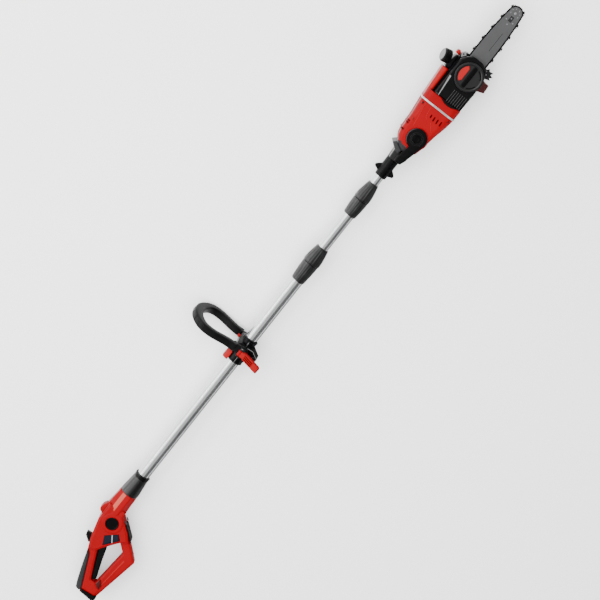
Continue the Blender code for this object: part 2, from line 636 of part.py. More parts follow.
# ---------------------------------------------------------------- tilt joint
def build_pole_holder():
    """Socket on the upper tube that widens to a fork holding the head at the tilt shaft."""
    bore = UPPER_TUBE_R + GAP
    socket = turned("pole_holder", [(1.078, bore), (1.078, 0.0165), (1.086, 0.0175), (1.160, 0.0185),
                                    (1.160, 0.0), (UPPER_TUBE_FRONT + GAP, 0.0),
                                    (UPPER_TUBE_FRONT + GAP, bore)], "black")
    wing = [(1.088, 0.0150), (1.0930, 0.0300), (1.1000, 0.0310), (1.1060, 0.0240), (1.1120, 0.0150),
            (1.1120, -0.0150), (1.1060, -0.0240), (1.1000, -0.0310), (1.0930, -0.0300), (1.088, -0.0150)]
    lugs = prism("join_lugs", wing, -0.0050, 0.0050, None, chamfer=0.0010)
    root = [(1.138, -0.0180), (1.138, 0.0020), (1.158, 0.0020), (1.1660, -0.0050), (1.1660, -0.0150),
            (1.1640, -0.0245), (1.1560, -0.0255)]
    yoke = prism("join_yoke", root, -EAR_OUTER, EAR_OUTER, None, chamfer=0.0030)
    shoulder_outline = [(1.1357, -0.0110), (1.1361, 0.0160), (1.1640, 0.0178), (1.1652, -0.0110)]
    shoulder = prism("join_shoulder", shoulder_outline, -0.0300, 0.0300, None, chamfer=0.0020)
    join(socket, lugs)
    join(socket, yoke)
    join(socket, shoulder)
    for side in (1.0, -1.0):
        ends = sorted((side * EAR_INNER, side * EAR_OUTER))
        ear = [(1.158, -0.0010), (1.158, -0.0246)] + circle_points((HUB_X, HUB_Y), HUB_R, 248.0, 530.0, 28)
        plate = prism(f"join_ear_{ends[0] > 0.0}", ear, *ends, None)
        join(socket, plate)
    shaft_hole = rod("cut_shaft_holder", (HUB_X, HUB_Y, -0.06), 0.12, PIVOT_R + GAP, None,
                     axis=(0.0, 0.0, 1.0))
    cable_hole = rod("cut_holder_cable", (1.10, 0.0, 0.0), 0.08, CABLE_R + 0.001, None)
    bore_again = rod("cut_holder_bore", (1.07, 0.0, 0.0), UPPER_TUBE_FRONT + GAP - 1.07, bore, None,
                     steps=ROUND_STEPS)
    bulge_room = rod("cut_holder_bulge", (HUB_X, HUB_Y, -EAR_INNER), 2.0 * EAR_INNER, BULGE_R + 0.0015, None,
                     axis=(0.0, 0.0, 1.0), steps=ROUND_STEPS)
    pocket = rod("cut_button_pocket", (HUB_X, HUB_Y, BUTTON_SEAT), 0.02, BUTTON_R + GAP, None,
                 axis=(0.0, 0.0, 1.0))
    for tool in (shaft_hole, cable_hole, bore_again, bulge_room, pocket):
        cut(socket, tool)

    arc_out = circle_points((HUB_X, HUB_Y), BULGE_R + 0.0135, 132.0, 176.0, 8)
    arc_in = circle_points((HUB_X, HUB_Y), BULGE_R + 0.0025, 176.0, 132.0, 8)
    cover = prism("tilt_cover", arc_out + arc_in, -0.0380, 0.0380, "grey", chamfer=0.0015, smooth=True)
    yoke_outline = [(1.130, -0.040), (1.130, 0.0185), (1.1647, 0.0185), (1.1669, -0.004), (1.1676, -0.040)]
    yoke_room = prism("cut_cover_yoke", yoke_outline, -0.06, 0.06, None)
    cut(cover, yoke_room)

    axis = (0.0, 0.0, 1.0)
    shaft = [(-EAR_OUTER - 0.0045, 0.0), (-EAR_OUTER - 0.0045, 0.0100), (-EAR_OUTER - GAP, 0.0110),
             (-EAR_OUTER - GAP, PIVOT_R), (BUTTON_SEAT - GAP, PIVOT_R), (BUTTON_SEAT - GAP, 0.0)]
    turned("tilt_shaft", shaft, "steel", (HUB_X, HUB_Y, 0.0), axis, SMALL_STEPS)
    steps = [(0.0, 0.0), (0.0, BUTTON_R), (0.0040, BUTTON_R), (0.0040, 0.0085), (0.0052, 0.0075),
             (0.0052, 0.0)]
    button_low = EAR_OUTER - 0.0006
    turned("tilt_button", steps, "black", (HUB_X, HUB_Y, button_low), axis,
           origin=(HUB_X, HUB_Y, button_low))


# ---------------------------------------------------------------- head
def housing_sections(shrink=0.0):
    """Outer (or, shrunk, inner) sections of the motor housing along X."""
    rows = [
        (1.1750, -0.0270, 0.0090, 0.0300, 0.010),
        (1.1850, -0.0360, 0.0225, 0.0360, 0.012),
        (1.2000, -0.0400, 0.0340, 0.0376, 0.014),
        (1.2200, -0.0430, 0.0385, 0.0376, 0.014),
        (1.2460, -0.0470, 0.0395, 0.0376, 0.014),
        (1.2660, -0.0510, 0.0410, 0.0420, 0.018),
        (1.2900, -0.0560, 0.0438, 0.0455, 0.022),
        (RING_X - GAP, -0.0595, 0.0468, 0.0470, 0.024),
    ]
    sections = []
    for x, low, high, depth, corner in rows:
        points = rounded_section(low + shrink, high - shrink, -depth + shrink, depth - shrink,
                                 corner - 0.5 * shrink)
        sections.append((x, points))
    return sections


def build_motor_housing():
    inner = housing_sections(SHELL_WALL)[3:-1]
    inner.append((RING_X + 0.001, housing_sections(SHELL_WALL)[-1][1]))
    hollow = loft("cut_housing_hollow", inner, None)
    shaft_hole = rod("cut_shaft_head", (HUB_X, HUB_Y, -0.05), 0.10, PIVOT_R + GAP, None,
                     axis=(0.0, 0.0, 1.0))
    for name, side in (("motor_housing_right", 1.0), ("motor_housing_left", -1.0)):
        shell = loft(name, housing_sections(), "red")
        limits = sorted((side * GAP / 2.0, side * 0.080))
        half = block(f"keep_{name}", (1.10, -0.10, limits[0]), (1.40, 0.10, limits[1]), None)
        cut(shell, hollow)
        cut(shell, shaft_hole)
        keep_inside(shell, half)


def front_section(x, grow=0.0):
    return (x, rounded_section(-0.0595 - grow, 0.0478 + grow, -0.0470 - grow, 0.0470 + grow, 0.024))


def build_front_housing():
    """Silver ring and the red collar ahead of it, with the long red strip along the top."""
    start = RING_X
    ring = loft("trim_ring", [front_section(start, 0.0006), front_section(start + RING_THICK, 0.0006)],
                "light")
    bore = loft("cut_ring_bore", [front_section(start - 0.01, -SHELL_WALL),
                                  front_section(start + 0.10, -SHELL_WALL)], None)
    cut(ring, bore)
    rear = start + RING_THICK + GAP
    collar = loft("front_housing", [front_section(rear), front_section(1.345)], "red")
    strip_points = rounded_section(0.0350, 0.0545, -0.0300, 0.0300, 0.009)
    low_points = rounded_section(0.0350, 0.0478, -0.0300, 0.0300, 0.006)
    strip = loft("join_strip", [(rear + 0.004, low_points), (1.413, strip_points)], None)
    collar_bore = loft("cut_collar_bore", [front_section(start - 0.01, -SHELL_WALL),
                                           front_section(1.3465, -SHELL_WALL)], None)
    cut(collar, collar_bore)
    join(collar, strip)


CASE_REAR = 1.3454
CASE_FRONT = 1.4780
CASE_OUTLINE = [(CASE_REAR, -0.0560), (1.4080, -0.0575), (1.4500, -0.0500), (CASE_FRONT, -0.0330),
                (CASE_FRONT, 0.0200), (1.4660, 0.0340), (CASE_REAR, 0.0340)]


def build_gear_case():
    """Black case with the gears, closed on the right by the sprocket cover."""
    case = prism("gear_case", CASE_OUTLINE, -0.0440, 0.0205, "black", chamfer=0.0040)
    hollow = prism("cut_case_hollow", [(CASE_REAR - 0.002, -0.0480), (1.4040, -0.0480), (1.4300, -0.0420),
                                       (1.4300, 0.0280), (CASE_REAR - 0.002, 0.0280)],
                   -0.0400, 0.0165, None)
    shaft_hole = rod("cut_case_shaft", (SPROCKET_X, DRIVE_Y, -0.02), 0.06, 0.0075, None,
                     axis=(0.0, 0.0, 1.0))
    stud_hole = rod("cut_case_stud", (KNOB_X + 0.010, DRIVE_Y, 0.006), 0.03, 0.0042, None,
                    axis=(0.0, 0.0, 1.0))
    for tool in (hollow, shaft_hole, stud_hole):
        cut(case, tool)

    cover_outline = [(CASE_REAR, -0.0560), (1.4080, -0.0575), (1.4500, -0.0540), (1.4700, -0.0450),
                     (1.4805, -0.0250), (1.4805, 0.0060), (1.4700, 0.0200), (1.4560, 0.0300),
                     (CASE_REAR, 0.0300)]
    cover = prism("sprocket_cover", cover_outline, 0.0208, 0.0460, "black", chamfer=0.0035)
    chain_room = prism("cut_chain_room", [(1.3660, -0.0430), (1.4100, -0.0480), (1.4450, -0.0440),
                                          (1.4900, -0.0440), (1.4900, 0.0215), (1.4450, 0.0230),
                                          (1.3660, 0.0220)], 0.0180, 0.0345, None)
    knob_hole = rod("cut_cover_stud", (KNOB_X + 0.010, DRIVE_Y, 0.03), 0.03, 0.0042, None,
                    axis=(0.0, 0.0, 1.0))
    rim_seat = rod("cut_knob_seat", (KNOB_X, KNOB_Y, 0.0435), 0.01, KNOB_R + GAP, None,
                   axis=(0.0, 0.0, 1.0), steps=ROUND_STEPS)
    for tool in (chain_room, knob_hole, rim_seat):
        cut(cover, tool)
    rod("bar_stud", (KNOB_X + 0.010, DRIVE_Y, 0.0065), 0.0365, 0.0038, "steel", axis=(0.0, 0.0, 1.0))

    knob_profile = [(0.0, 0.0), (0.0, KNOB_R - GAP), (0.0060, KNOB_R - 0.0015), (0.0060, KNOB_R - 0.0060),
                    (0.0045, KNOB_R - 0.0090), (0.0045, 0.0)]
    knob = turned("tension_knob", knob_profile, "black", (KNOB_X, KNOB_Y, 0.0438), (0.0, 0.0, 1.0),
                  origin=(KNOB_X, KNOB_Y, 0.0438))
    grip = [(KNOB_X + x, KNOB_Y + y)
            for x, y in ((-0.030, -0.006), (0.030, -0.006), (0.030, 0.006), (-0.030, 0.006))]
    bar = prism("join_knob_bar", grip, 0.0470, 0.0530, None, chamfer=0.0012)
    join(knob, bar)


def bar_half_width(x):
    """Half width of the guide bar between its tail and where the nose begins."""
    stations = [(1.4080, 0.0190), (1.4300, 0.0245), (1.5200, 0.0247), (1.5700, 0.0228), (1.6200, 0.0185)]
    for (x0, w0), (x1, w1) in zip(stations, stations[1:]):
        if x <= x1:
            return w0 + (w1 - w0) * (x - x0) / (x1 - x0)
    return stations[-1][1]


NOSE_R = 0.0172
NOSE_X = BAR_TIP - NOSE_R


def bar_outline(grow=0.0):
    """Outline of the bar, or of the chain's path when it is grown."""
    stations = [1.4300, 1.4750, 1.5200, 1.5700, 1.6100]
    lower = [(x, DRIVE_Y - bar_half_width(x) - grow) for x in stations]
    nose = circle_points((NOSE_X, DRIVE_Y), NOSE_R + grow, -72.0, 72.0, 12)
    upper = [(x, DRIVE_Y + bar_half_width(x) + grow) for x in reversed(stations)]
    return lower + nose + upper


def build_cutting_parts():
    low = BAR_Z - BAR_THICK / 2.0
    outline = bar_outline() + [(1.4260, DRIVE_Y + 0.0200), (1.4260, DRIVE_Y - 0.0200)]
    bar = prism("guide_bar", outline, low, low + BAR_THICK, "steel")
    slot = prism("cut_bar_slot", [(KNOB_X + 0.0035, DRIVE_Y - 0.0043), (KNOB_X + 0.0190, DRIVE_Y - 0.0043),
                                  (KNOB_X + 0.0190, DRIVE_Y + 0.0043), (KNOB_X + 0.0035, DRIVE_Y + 0.0043)],
                 0.0, 0.05, None)
    cut(bar, slot)

    sprocket_loop = circle_points((SPROCKET_X, DRIVE_Y), 0.0215, 95.0, 265.0, 14)
    inner = bar_outline(GAP) + sprocket_loop
    outer = bar_outline(CHAIN_THICK) + circle_points((SPROCKET_X, DRIVE_Y), 0.0215 + CHAIN_THICK,
                                                      95.0, 265.0, 14)
    chain_low = BAR_Z - CHAIN_WIDTH / 2.0
    chain = prism("saw_chain", outer, chain_low, chain_low + CHAIN_WIDTH, "dark_steel")
    hole = prism("cut_chain", inner, chain_low - 0.01, chain_low + 0.02, None)
    cut(chain, hole)

    sprocket = [(0.0, 0.0062), (0.0, 0.0205), (0.0062, 0.0205), (0.0062, 0.0062)]
    turned("drive_sprocket", sprocket, "dark_steel", (SPROCKET_X, DRIVE_Y, BAR_Z - 0.0031), (0.0, 0.0, 1.0),
           origin=(SPROCKET_X, DRIVE_Y, BAR_Z))
    top = BAR_Z + 0.0050
    wheel = [(-0.0350, 0.0), (-0.0350, 0.0059), (-0.0270, 0.0059), (-0.0270, 0.0240), (-0.0210, 0.0240),
             (-0.0120, 0.0120), (-0.0120, 0.0059), (top, 0.0059), (top, 0.0)]
    turned("bevel_wheel", wheel, "steel", (SPROCKET_X, DRIVE_Y, 0.0), (0.0, 0.0, 1.0),
           origin=(SPROCKET_X, DRIVE_Y, 0.0))


def build_motor():
    centre = (0.0, DRIVE_Y, MOTOR_Z)
    radius = 0.0250
    can = [(1.2640, 0.0062), (1.2640, radius), (1.3280, radius), (1.3280, 0.0062), (1.3250, 0.0062),
           (1.3250, radius - 0.0030), (1.2670, radius - 0.0030), (1.2670, 0.0062)]
    turned("motor_can", can, "steel", centre)
    rotor = [(1.2580, 0.0), (1.2580, 0.0030), (1.2780, 0.0030), (1.2780, 0.0190), (1.3150, 0.0190),
             (1.3150, 0.0030), (1.3604, 0.0030), (1.3604, 0.0085), (1.3650, 0.0095), (1.3720, 0.0060),
             (1.3720, 0.0)]
    turned("motor_rotor", rotor, "dark_steel", centre, origin=centre)


def build_oil_parts():
    axis = OIL_CAP_AXIS
    cap = [(0.0, 0.0), (0.0, OIL_CAP_R), (OIL_CAP_HEIGHT, OIL_CAP_R - 0.0010), (OIL_CAP_HEIGHT, 0.0)]
    tank_outline = [(1.4140, 0.0345), (1.4580, 0.0345), (1.4560, 0.0430), (1.4140, 0.0500)]
    tank = prism("oil_tank", tank_outline, -0.0340, 0.0180, "black", chamfer=0.0020)
    cap_room = turned("cut_tank_cap", [(0.0, 0.0), (0.0, OIL_CAP_R + 0.0008), (0.0500, OIL_CAP_R + 0.0008),
                                       (0.0500, 0.0)], None, OIL_CAP_CENTRE, axis)
    cut(tank, cap_room)
    start = Vector(OIL_CAP_CENTRE) + axis * 0.0004
    turned("oil_cap", cap, "black", start, axis, origin=tuple(start))


def build_front_fittings():
    """Small pieces round the bar's root: guard lug, guard plate, branch hook and chain catcher."""
    lug = [(1.4588, 0.0346), (1.4668, 0.0346), (1.4720, 0.0380), (1.4700, 0.0450), (1.4600, 0.0460)]
    prism("guard_lug", lug, -0.0200, 0.0020, "red", chamfer=0.0020)
    plate = [(1.4586, 0.0304), (1.4706, 0.0204), (1.4780, 0.0300), (1.4700, 0.0342)]
    prism("guard_plate", plate, 0.0210, 0.0260, "light")
    hook = [(1.4500, -0.0504), (1.4560, -0.0715), (1.4600, -0.0650), (1.4660, -0.0720), (1.4690, -0.0630),
            (1.4765, -0.0670), (1.4750, -0.0560), (1.4800, -0.0520), (1.4742, -0.0460), (1.4784, -0.0334)]
    prism("branch_hook", hook, 0.0080, 0.0110, "dark_steel")
    catcher = [(1.4120, -0.0580), (1.4200, -0.0800), (1.4440, -0.0780), (1.4460, -0.0560), (1.4300, -0.0555)]
    prism("chain_catcher", catcher, 0.0000, 0.0070, "maroon", chamfer=0.0010)


build_rear_handle()
build_pole()
build_front_handle()
build_pole_holder()
build_motor_housing()
build_front_housing()
build_gear_case()
build_cutting_parts()
build_motor()
build_oil_parts()
build_front_fittings()
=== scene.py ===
"""Looks of the telescoping pole saw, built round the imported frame."""

import json
import math

import bmesh
import bpy
from mathutils import Matrix, Vector


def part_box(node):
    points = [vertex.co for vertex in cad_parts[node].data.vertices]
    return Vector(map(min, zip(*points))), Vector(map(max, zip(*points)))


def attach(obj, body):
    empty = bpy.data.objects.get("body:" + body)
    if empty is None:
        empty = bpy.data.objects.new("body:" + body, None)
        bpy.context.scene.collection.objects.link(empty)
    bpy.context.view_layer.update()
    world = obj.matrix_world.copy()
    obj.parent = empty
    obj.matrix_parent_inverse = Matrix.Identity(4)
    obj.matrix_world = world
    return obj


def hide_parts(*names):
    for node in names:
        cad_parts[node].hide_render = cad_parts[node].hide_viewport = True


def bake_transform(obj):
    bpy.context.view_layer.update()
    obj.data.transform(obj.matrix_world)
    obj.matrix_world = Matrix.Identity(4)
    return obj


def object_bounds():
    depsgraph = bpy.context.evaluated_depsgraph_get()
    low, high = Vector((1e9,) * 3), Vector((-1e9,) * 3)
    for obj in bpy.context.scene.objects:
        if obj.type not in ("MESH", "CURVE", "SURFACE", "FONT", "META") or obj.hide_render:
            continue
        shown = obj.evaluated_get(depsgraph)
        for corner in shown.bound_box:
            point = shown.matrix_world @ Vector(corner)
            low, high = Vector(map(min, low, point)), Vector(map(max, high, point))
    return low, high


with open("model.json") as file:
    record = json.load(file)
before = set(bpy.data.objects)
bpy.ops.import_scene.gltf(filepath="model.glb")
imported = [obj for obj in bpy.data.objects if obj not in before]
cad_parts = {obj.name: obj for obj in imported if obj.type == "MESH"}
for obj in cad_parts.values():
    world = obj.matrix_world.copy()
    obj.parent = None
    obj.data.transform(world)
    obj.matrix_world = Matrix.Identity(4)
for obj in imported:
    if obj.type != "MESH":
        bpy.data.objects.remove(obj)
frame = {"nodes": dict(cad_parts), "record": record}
cad_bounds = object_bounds()

UP = (0.0, 0.0, 1.0)

# The tool's own axes: X from the collar's front rim along the pole, Y to the tool's top, Z to its right side.
tube_low, tube_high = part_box("lower_tube")
ORIGIN = Vector((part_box("tube_collar")[1].x, (tube_low.y + tube_high.y) / 2.0,
                 (tube_low.z + tube_high.z) / 2.0))


def tool_box(node):
    """Corners of a CAD node in the tool's axes."""
    low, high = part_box(node)
    return low - ORIGIN, high - ORIGIN


# ---------------------------------------------------------------- materials
def link(tree, start, end):
    tree.links.new(start, end)


def new_material(name):
    mat = bpy.data.materials.new(name)
    mat.use_nodes = True
    tree = mat.node_tree
    shader = tree.nodes["Principled BSDF"]
    coords = tree.nodes.new("ShaderNodeTexCoord")
    return mat, tree, shader, coords


def noise_node(tree, coords, scale, detail=3.0, stretch=None):
    noise = tree.nodes.new("ShaderNodeTexNoise")
    noise.inputs["Scale"].default_value = scale
    noise.inputs["Detail"].default_value = detail
    if stretch is None:
        link(tree, coords.outputs["Object"], noise.inputs["Vector"])
    else:
        mapping = tree.nodes.new("ShaderNodeMapping")
        mapping.inputs["Scale"].default_value = stretch
        link(tree, coords.outputs["Object"], mapping.inputs["Vector"])
        link(tree, mapping.outputs["Vector"], noise.inputs["Vector"])
    return noise


def range_node(tree, source, low, high):
    node = tree.nodes.new("ShaderNodeMapRange")
    node.inputs["To Min"].default_value = low
    node.inputs["To Max"].default_value = high
    link(tree, source, node.inputs["Value"])
    return node


def two_tone(tree, shader, source, first, second):
    ramp = tree.nodes.new("ShaderNodeValToRGB")
    ramp.color_ramp.elements[0].position = 0.35
    ramp.color_ramp.elements[0].color = (*first, 1.0)
    ramp.color_ramp.elements[1].position = 0.68
    ramp.color_ramp.elements[1].color = (*second, 1.0)
    link(tree, source, ramp.inputs["Fac"])
    link(tree, ramp.outputs["Color"], shader.inputs["Base Color"])


def bump_from(tree, shader, source, strength, distance):
    bump = tree.nodes.new("ShaderNodeBump")
    bump.inputs["Strength"].default_value = strength
    bump.inputs["Distance"].default_value = distance
    link(tree, source, bump.inputs["Height"])
    link(tree, bump.outputs["Normal"], shader.inputs["Normal"])


def plastic(name, colour, shade, rough, sheen=0.3, grain=900.0, grain_depth=0.00006, coat=0.0):
    """Moulded plastic: slow colour drift, uneven gloss and a fine spark-eroded grain."""
    mat, tree, shader, coords = new_material(name)
    slow = noise_node(tree, coords, 9.0)
    fine = noise_node(tree, coords, grain, 2.0)
    two_tone(tree, shader, slow.outputs["Fac"], colour, shade)
    gloss = range_node(tree, noise_node(tree, coords, 60.0).outputs["Fac"], rough - 0.05, rough + 0.06)
    link(tree, gloss.outputs["Result"], shader.inputs["Roughness"])
    bump_from(tree, shader, fine.outputs["Fac"], 0.25, grain_depth)
    shader.inputs["Specular IOR Level"].default_value = sheen
    shader.inputs["Coat Weight"].default_value = coat
    shader.inputs["Coat Roughness"].default_value = 0.12
    return mat


def rubber(name, colour, shade, rough=0.62, sheen=0.35):
    """Soft overmould: small raised pips and a dusty finish."""
    mat, tree, shader, coords = new_material(name)
    slow = noise_node(tree, coords, 14.0)
    two_tone(tree, shader, slow.outputs["Fac"], colour, shade)
    cells = tree.nodes.new("ShaderNodeTexVoronoi")
    cells.inputs["Scale"].default_value = 420.0
    link(tree, coords.outputs["Object"], cells.inputs["Vector"])
    gloss = range_node(tree, cells.outputs["Distance"], rough - 0.1, rough + 0.1)
    link(tree, gloss.outputs["Result"], shader.inputs["Roughness"])
    bump_from(tree, shader, cells.outputs["Distance"], 0.35, 0.00025)
    shader.inputs["Specular IOR Level"].default_value = sheen
    return mat


def metal(name, colour, shade, rough, stretch, depth=0.00003, metallic=1.0, grain=55.0):
    """Metal with fine drawn or brushed lines along one direction and uneven polish."""
    mat, tree, shader, coords = new_material(name)
    shader.inputs["Metallic"].default_value = metallic
    lines = noise_node(tree, coords, grain, 4.0, stretch)
    slow = noise_node(tree, coords, 6.0)
    two_tone(tree, shader, slow.outputs["Fac"], colour, shade)
    gloss = range_node(tree, lines.outputs["Fac"], rough - 0.06, rough + 0.09)
    link(tree, gloss.outputs["Result"], shader.inputs["Roughness"])
    bump_from(tree, shader, lines.outputs["Fac"], 0.3, depth)
    return mat


ALONG_X = (0.6, 14.0, 14.0)
ROUND_X = (14.0, 0.8, 0.8)
EVEN = (6.0, 6.0, 6.0)
LOOKS = {"red": plastic("red_plastic", (0.19, 0.0004, 0.0026), (0.165, 0.0003, 0.0022), 0.34, 0.07),
         # A lighter copy of the red plastic: painted light on the faces, ridges and small red parts that use it.
         "red_lit": plastic("red_bright_plastic", (0.235, 0.004, 0.0046), (0.215, 0.0034, 0.004), 0.32,
                               0.14), "knuckle": plastic("knuckle_plastic", (0.013, 0.013, 0.0135), (0.02,
                                                                                                     0.02,
                                                                                                     0.021),
                                                         0.42, 0.25),
         "warm_grey": plastic("warm_grey_plastic", (0.22, 0.19, 0.185), (0.2, 0.172, 0.168), 0.4, 0.35),
         # A light salmon copy of the red: a painted highlight laid on the neck's slanted facet.
         "neck_highlight": plastic("salmon_facet", (0.33, 0.042, 0.024), (0.3, 0.036, 0.02), 0.3, 0.35),
         "black": plastic("black_plastic", (0.0008, 0.0008, 0.0009), (0.0013, 0.0013, 0.0014), 0.28, 0.13),
         "black_sheen": plastic("black_sheen_plastic", (0.0012, 0.0012, 0.0013), (0.0018, 0.0018, 0.0019),
                                0.3, 0.55), "black_gloss": plastic("black_gloss_plastic", (0.0005, 0.0005,
                                                                                           0.0006), (0.0008,
                                                                                                     0.0008,
                                                                                                     0.0009),
                                                                   0.18, 0.1),
         # Near-black with almost no gloss: painted shade for the vent slits and lever grooves that use it.
         "void": plastic("void_plastic", (0.0002, 0.0002, 0.0002), (0.0003, 0.0003, 0.0003), 0.6, 0.02),
         "charcoal": plastic("charcoal_plastic", (0.008, 0.008, 0.0085), (0.011, 0.011, 0.0115), 0.36, 0.35),
         "grey": plastic("grey_plastic", (0.02, 0.02, 0.021), (0.026, 0.026, 0.027), 0.38, 0.7),
         "navy": plastic("navy_window", (0.001, 0.0024, 0.007), (0.0016, 0.0036, 0.011), 0.14, 0.3),
         "pale": plastic("pale_plastic", (0.12, 0.12, 0.122), (0.15, 0.15, 0.152), 0.36),
         "silver": plastic("silver_trim", (0.26, 0.26, 0.26), (0.32, 0.32, 0.32), 0.24, 1.0, coat=0.5),
         "soft": rubber("soft_overmould", (0.011, 0.011, 0.0115), (0.015, 0.015, 0.0155)),
         "loop": rubber("loop_rubber", (0.001, 0.001, 0.0011), (0.0018, 0.0018, 0.0019), 0.42, 0.14),
         "cable": rubber("cable_jacket", (0.003, 0.003, 0.003), (0.005, 0.005, 0.005), 0.55),
         "maroon": plastic("maroon_plastic", (0.026, 0.0012, 0.0012), (0.036, 0.0016, 0.0016), 0.33),
         "tube": metal("drawn_aluminium", (0.72, 0.73, 0.74), (0.64, 0.65, 0.66), 0.2, ALONG_X),
         "bar": metal("bar_steel", (0.17, 0.17, 0.173), (0.2, 0.2, 0.203), 0.55, ALONG_X),
         "steel": metal("turned_steel", (0.4, 0.4, 0.41), (0.5, 0.5, 0.51), 0.3, EVEN),
         "chain": metal("chain_steel", (0.012, 0.012, 0.012), (0.03, 0.029, 0.028), 0.34, EVEN, 0.00006),
         "dark_steel": metal("dark_steel", (0.035, 0.035, 0.036), (0.065, 0.065, 0.066), 0.36, EVEN),
         "copper": metal("copper_winding", (0.5, 0.22, 0.1), (0.62, 0.3, 0.15), 0.35, ROUND_X),}


# ---------------------------------------------------------------- mesh helpers
def object_from(bm, name):
    mesh = bpy.data.meshes.new(name)
    bm.to_mesh(mesh)
    bm.free()
    obj = bpy.data.objects.new(name, mesh)
    bpy.context.scene.collection.objects.link(obj)
    return obj


def resharpen(obj, angle=32.0):
    obj.data.shade_smooth()
    obj.data.set_sharp_from_angle(angle=math.radians(angle))


def finish_mesh(bm, name, look, angle=32.0):
    bmesh.ops.remove_doubles(bm, verts=bm.verts, dist=0.0000005)
    bmesh.ops.recalc_face_normals(bm, faces=bm.faces)
    obj = object_from(bm, name)
    resharpen(obj, angle)
    if look is not None:
        obj.data.materials.append(LOOKS[look])
    return obj


def bake(obj):
    """Apply the object's modifiers."""
    graph = bpy.context.evaluated_depsgraph_get()
    mesh = bpy.data.meshes.new_from_object(obj.evaluated_get(graph))
    obj.modifiers.clear()
    obj.data = mesh
    return obj


def soften(obj, width, segments=3, angle=30.0):
    """Round the edges that are sharper than the angle."""
    bevel = obj.modifiers.new("soften", "BEVEL")
    bevel.width = width
    bevel.segments = segments
    bevel.limit_method = "ANGLE"
    bevel.angle_limit = math.radians(angle)
    bevel.harden_normals = False
    bake(obj)
    resharpen(obj, 38.0)
    return obj


def boolean(obj, tools, operation="DIFFERENCE"):
    for tool in tools:
        modifier = obj.modifiers.new("tool", "BOOLEAN")
        modifier.operation = operation
        modifier.object = tool
        modifier.solver = "EXACT"
        bpy.context.view_layer.update()
        bake(obj)
        bpy.data.objects.remove(tool, do_unlink=True)
    resharpen(obj)
    return obj


def arc(centre, radius, start, end, steps):
    """Points of an arc, angles in degrees."""
    points = []
    for step in range(steps + 1):
        angle = math.radians(start + (end - start) * step / steps)
        points.append((centre[0] + radius * math.cos(angle), centre[1] + radius * math.sin(angle)))
    return points


class Outline(list):
    """Points of a closed outline that remembers its sharp corners, so that it can be inset cleanly."""


def fillet(outline, radius, steps=5):
    """Round the corners of a closed outline; radius is one number, or one per corner."""
    result = Outline()
    result.corners = [tuple(corner) for corner in outline]
    result.radii = list(radius) if isinstance(radius, (list, tuple)) else [radius] * len(outline)
    result.steps = steps
    count = len(outline)
    for index, (corner, size) in enumerate(zip(result.corners, result.radii)):
        here = Vector(corner)
        if size <= 0.0:
            result.append(corner)
            continue
        before = Vector(outline[index - 1]) - here
        after = Vector(outline[(index + 1) % count]) - here
        turn = before.angle(after)
        reach = size / math.tan(turn / 2.0) if turn < math.pi - 0.01 else 0.0
        reach = max(0.00002, min(reach, 0.46 * before.length, 0.46 * after.length))
        first = here + before.normalized() * reach
        last = here + after.normalized() * reach
        for step in range(steps + 1):
            t = step / steps
            spot = first * (1.0 - t) ** 2 + here * 2.0 * t * (1.0 - t) + last * t * t
            result.append(tuple(spot))
    return result


def area_sign(outline):
    total = 0.0
    for (x0, y0), (x1, y1) in zip(outline, outline[1:] + outline[:1]):
        total += x0 * y1 - x1 * y0
    return 1.0 if total > 0.0 else -1.0


def inset(outline, amount):
    """The outline moved inwards by an amount, corner by corner."""
    if isinstance(outline, Outline):
        sign = area_sign(outline.corners)
        radii = []
        for index, radius in enumerate(outline.radii):
            here = Vector(outline.corners[index])
            before = here - Vector(outline.corners[index - 1])
            after = Vector(outline.corners[(index + 1) % len(outline.corners)]) - here
            bulging = before.cross(after) * sign > 0.0
            radii.append(0.0 if radius <= 0.0 else max(0.0002,
                                                       radius - amount if bulging else radius + amount))
        return fillet(inset(outline.corners, amount), radii, outline.steps)
    sign = area_sign(outline)
    moved = []
    count = len(outline)
    for index, corner in enumerate(outline):
        here = Vector(corner)
        before = (here - Vector(outline[index - 1])).normalized()
        after = (Vector(outline[(index + 1) % count]) - here).normalized()
        normal_a = Vector((-before.y, before.x)) * sign
        normal_b = Vector((-after.y, after.x)) * sign
        middle = normal_a + normal_b
        if middle.length < 0.2:
            moved.append(tuple(here + normal_a * amount))
            continue
        middle.normalize()
        scale = amount / max(0.5, middle.dot(normal_a))
        moved.append(tuple(here + middle * scale))
    return moved


def skin(bm, rings, name, look, angle):
    """Join rings of vertices side by side, and close both ends."""
    for first, second in zip(rings, rings[1:]):
        for step in range(len(first)):
            following = (step + 1) % len(first)
            bm.faces.new((first[step], first[following], second[following], second[step]))
    bm.faces.new(rings[0])
    bm.faces.new(rings[-1])
    return finish_mesh(bm, name, look, angle)


def pillow(name, outline, levels, look, angle=32.0):
    """Solid with one outline, whose levels are (inset, z) from the lowest face to the highest."""
    bm = bmesh.new()
    rings = []
    for amount, z in levels:
        points = inset(outline, amount) if amount else outline
        rings.append([bm.verts.new((x, y, z)) for x, y in points])
    return skin(bm, rings, name, look, angle)


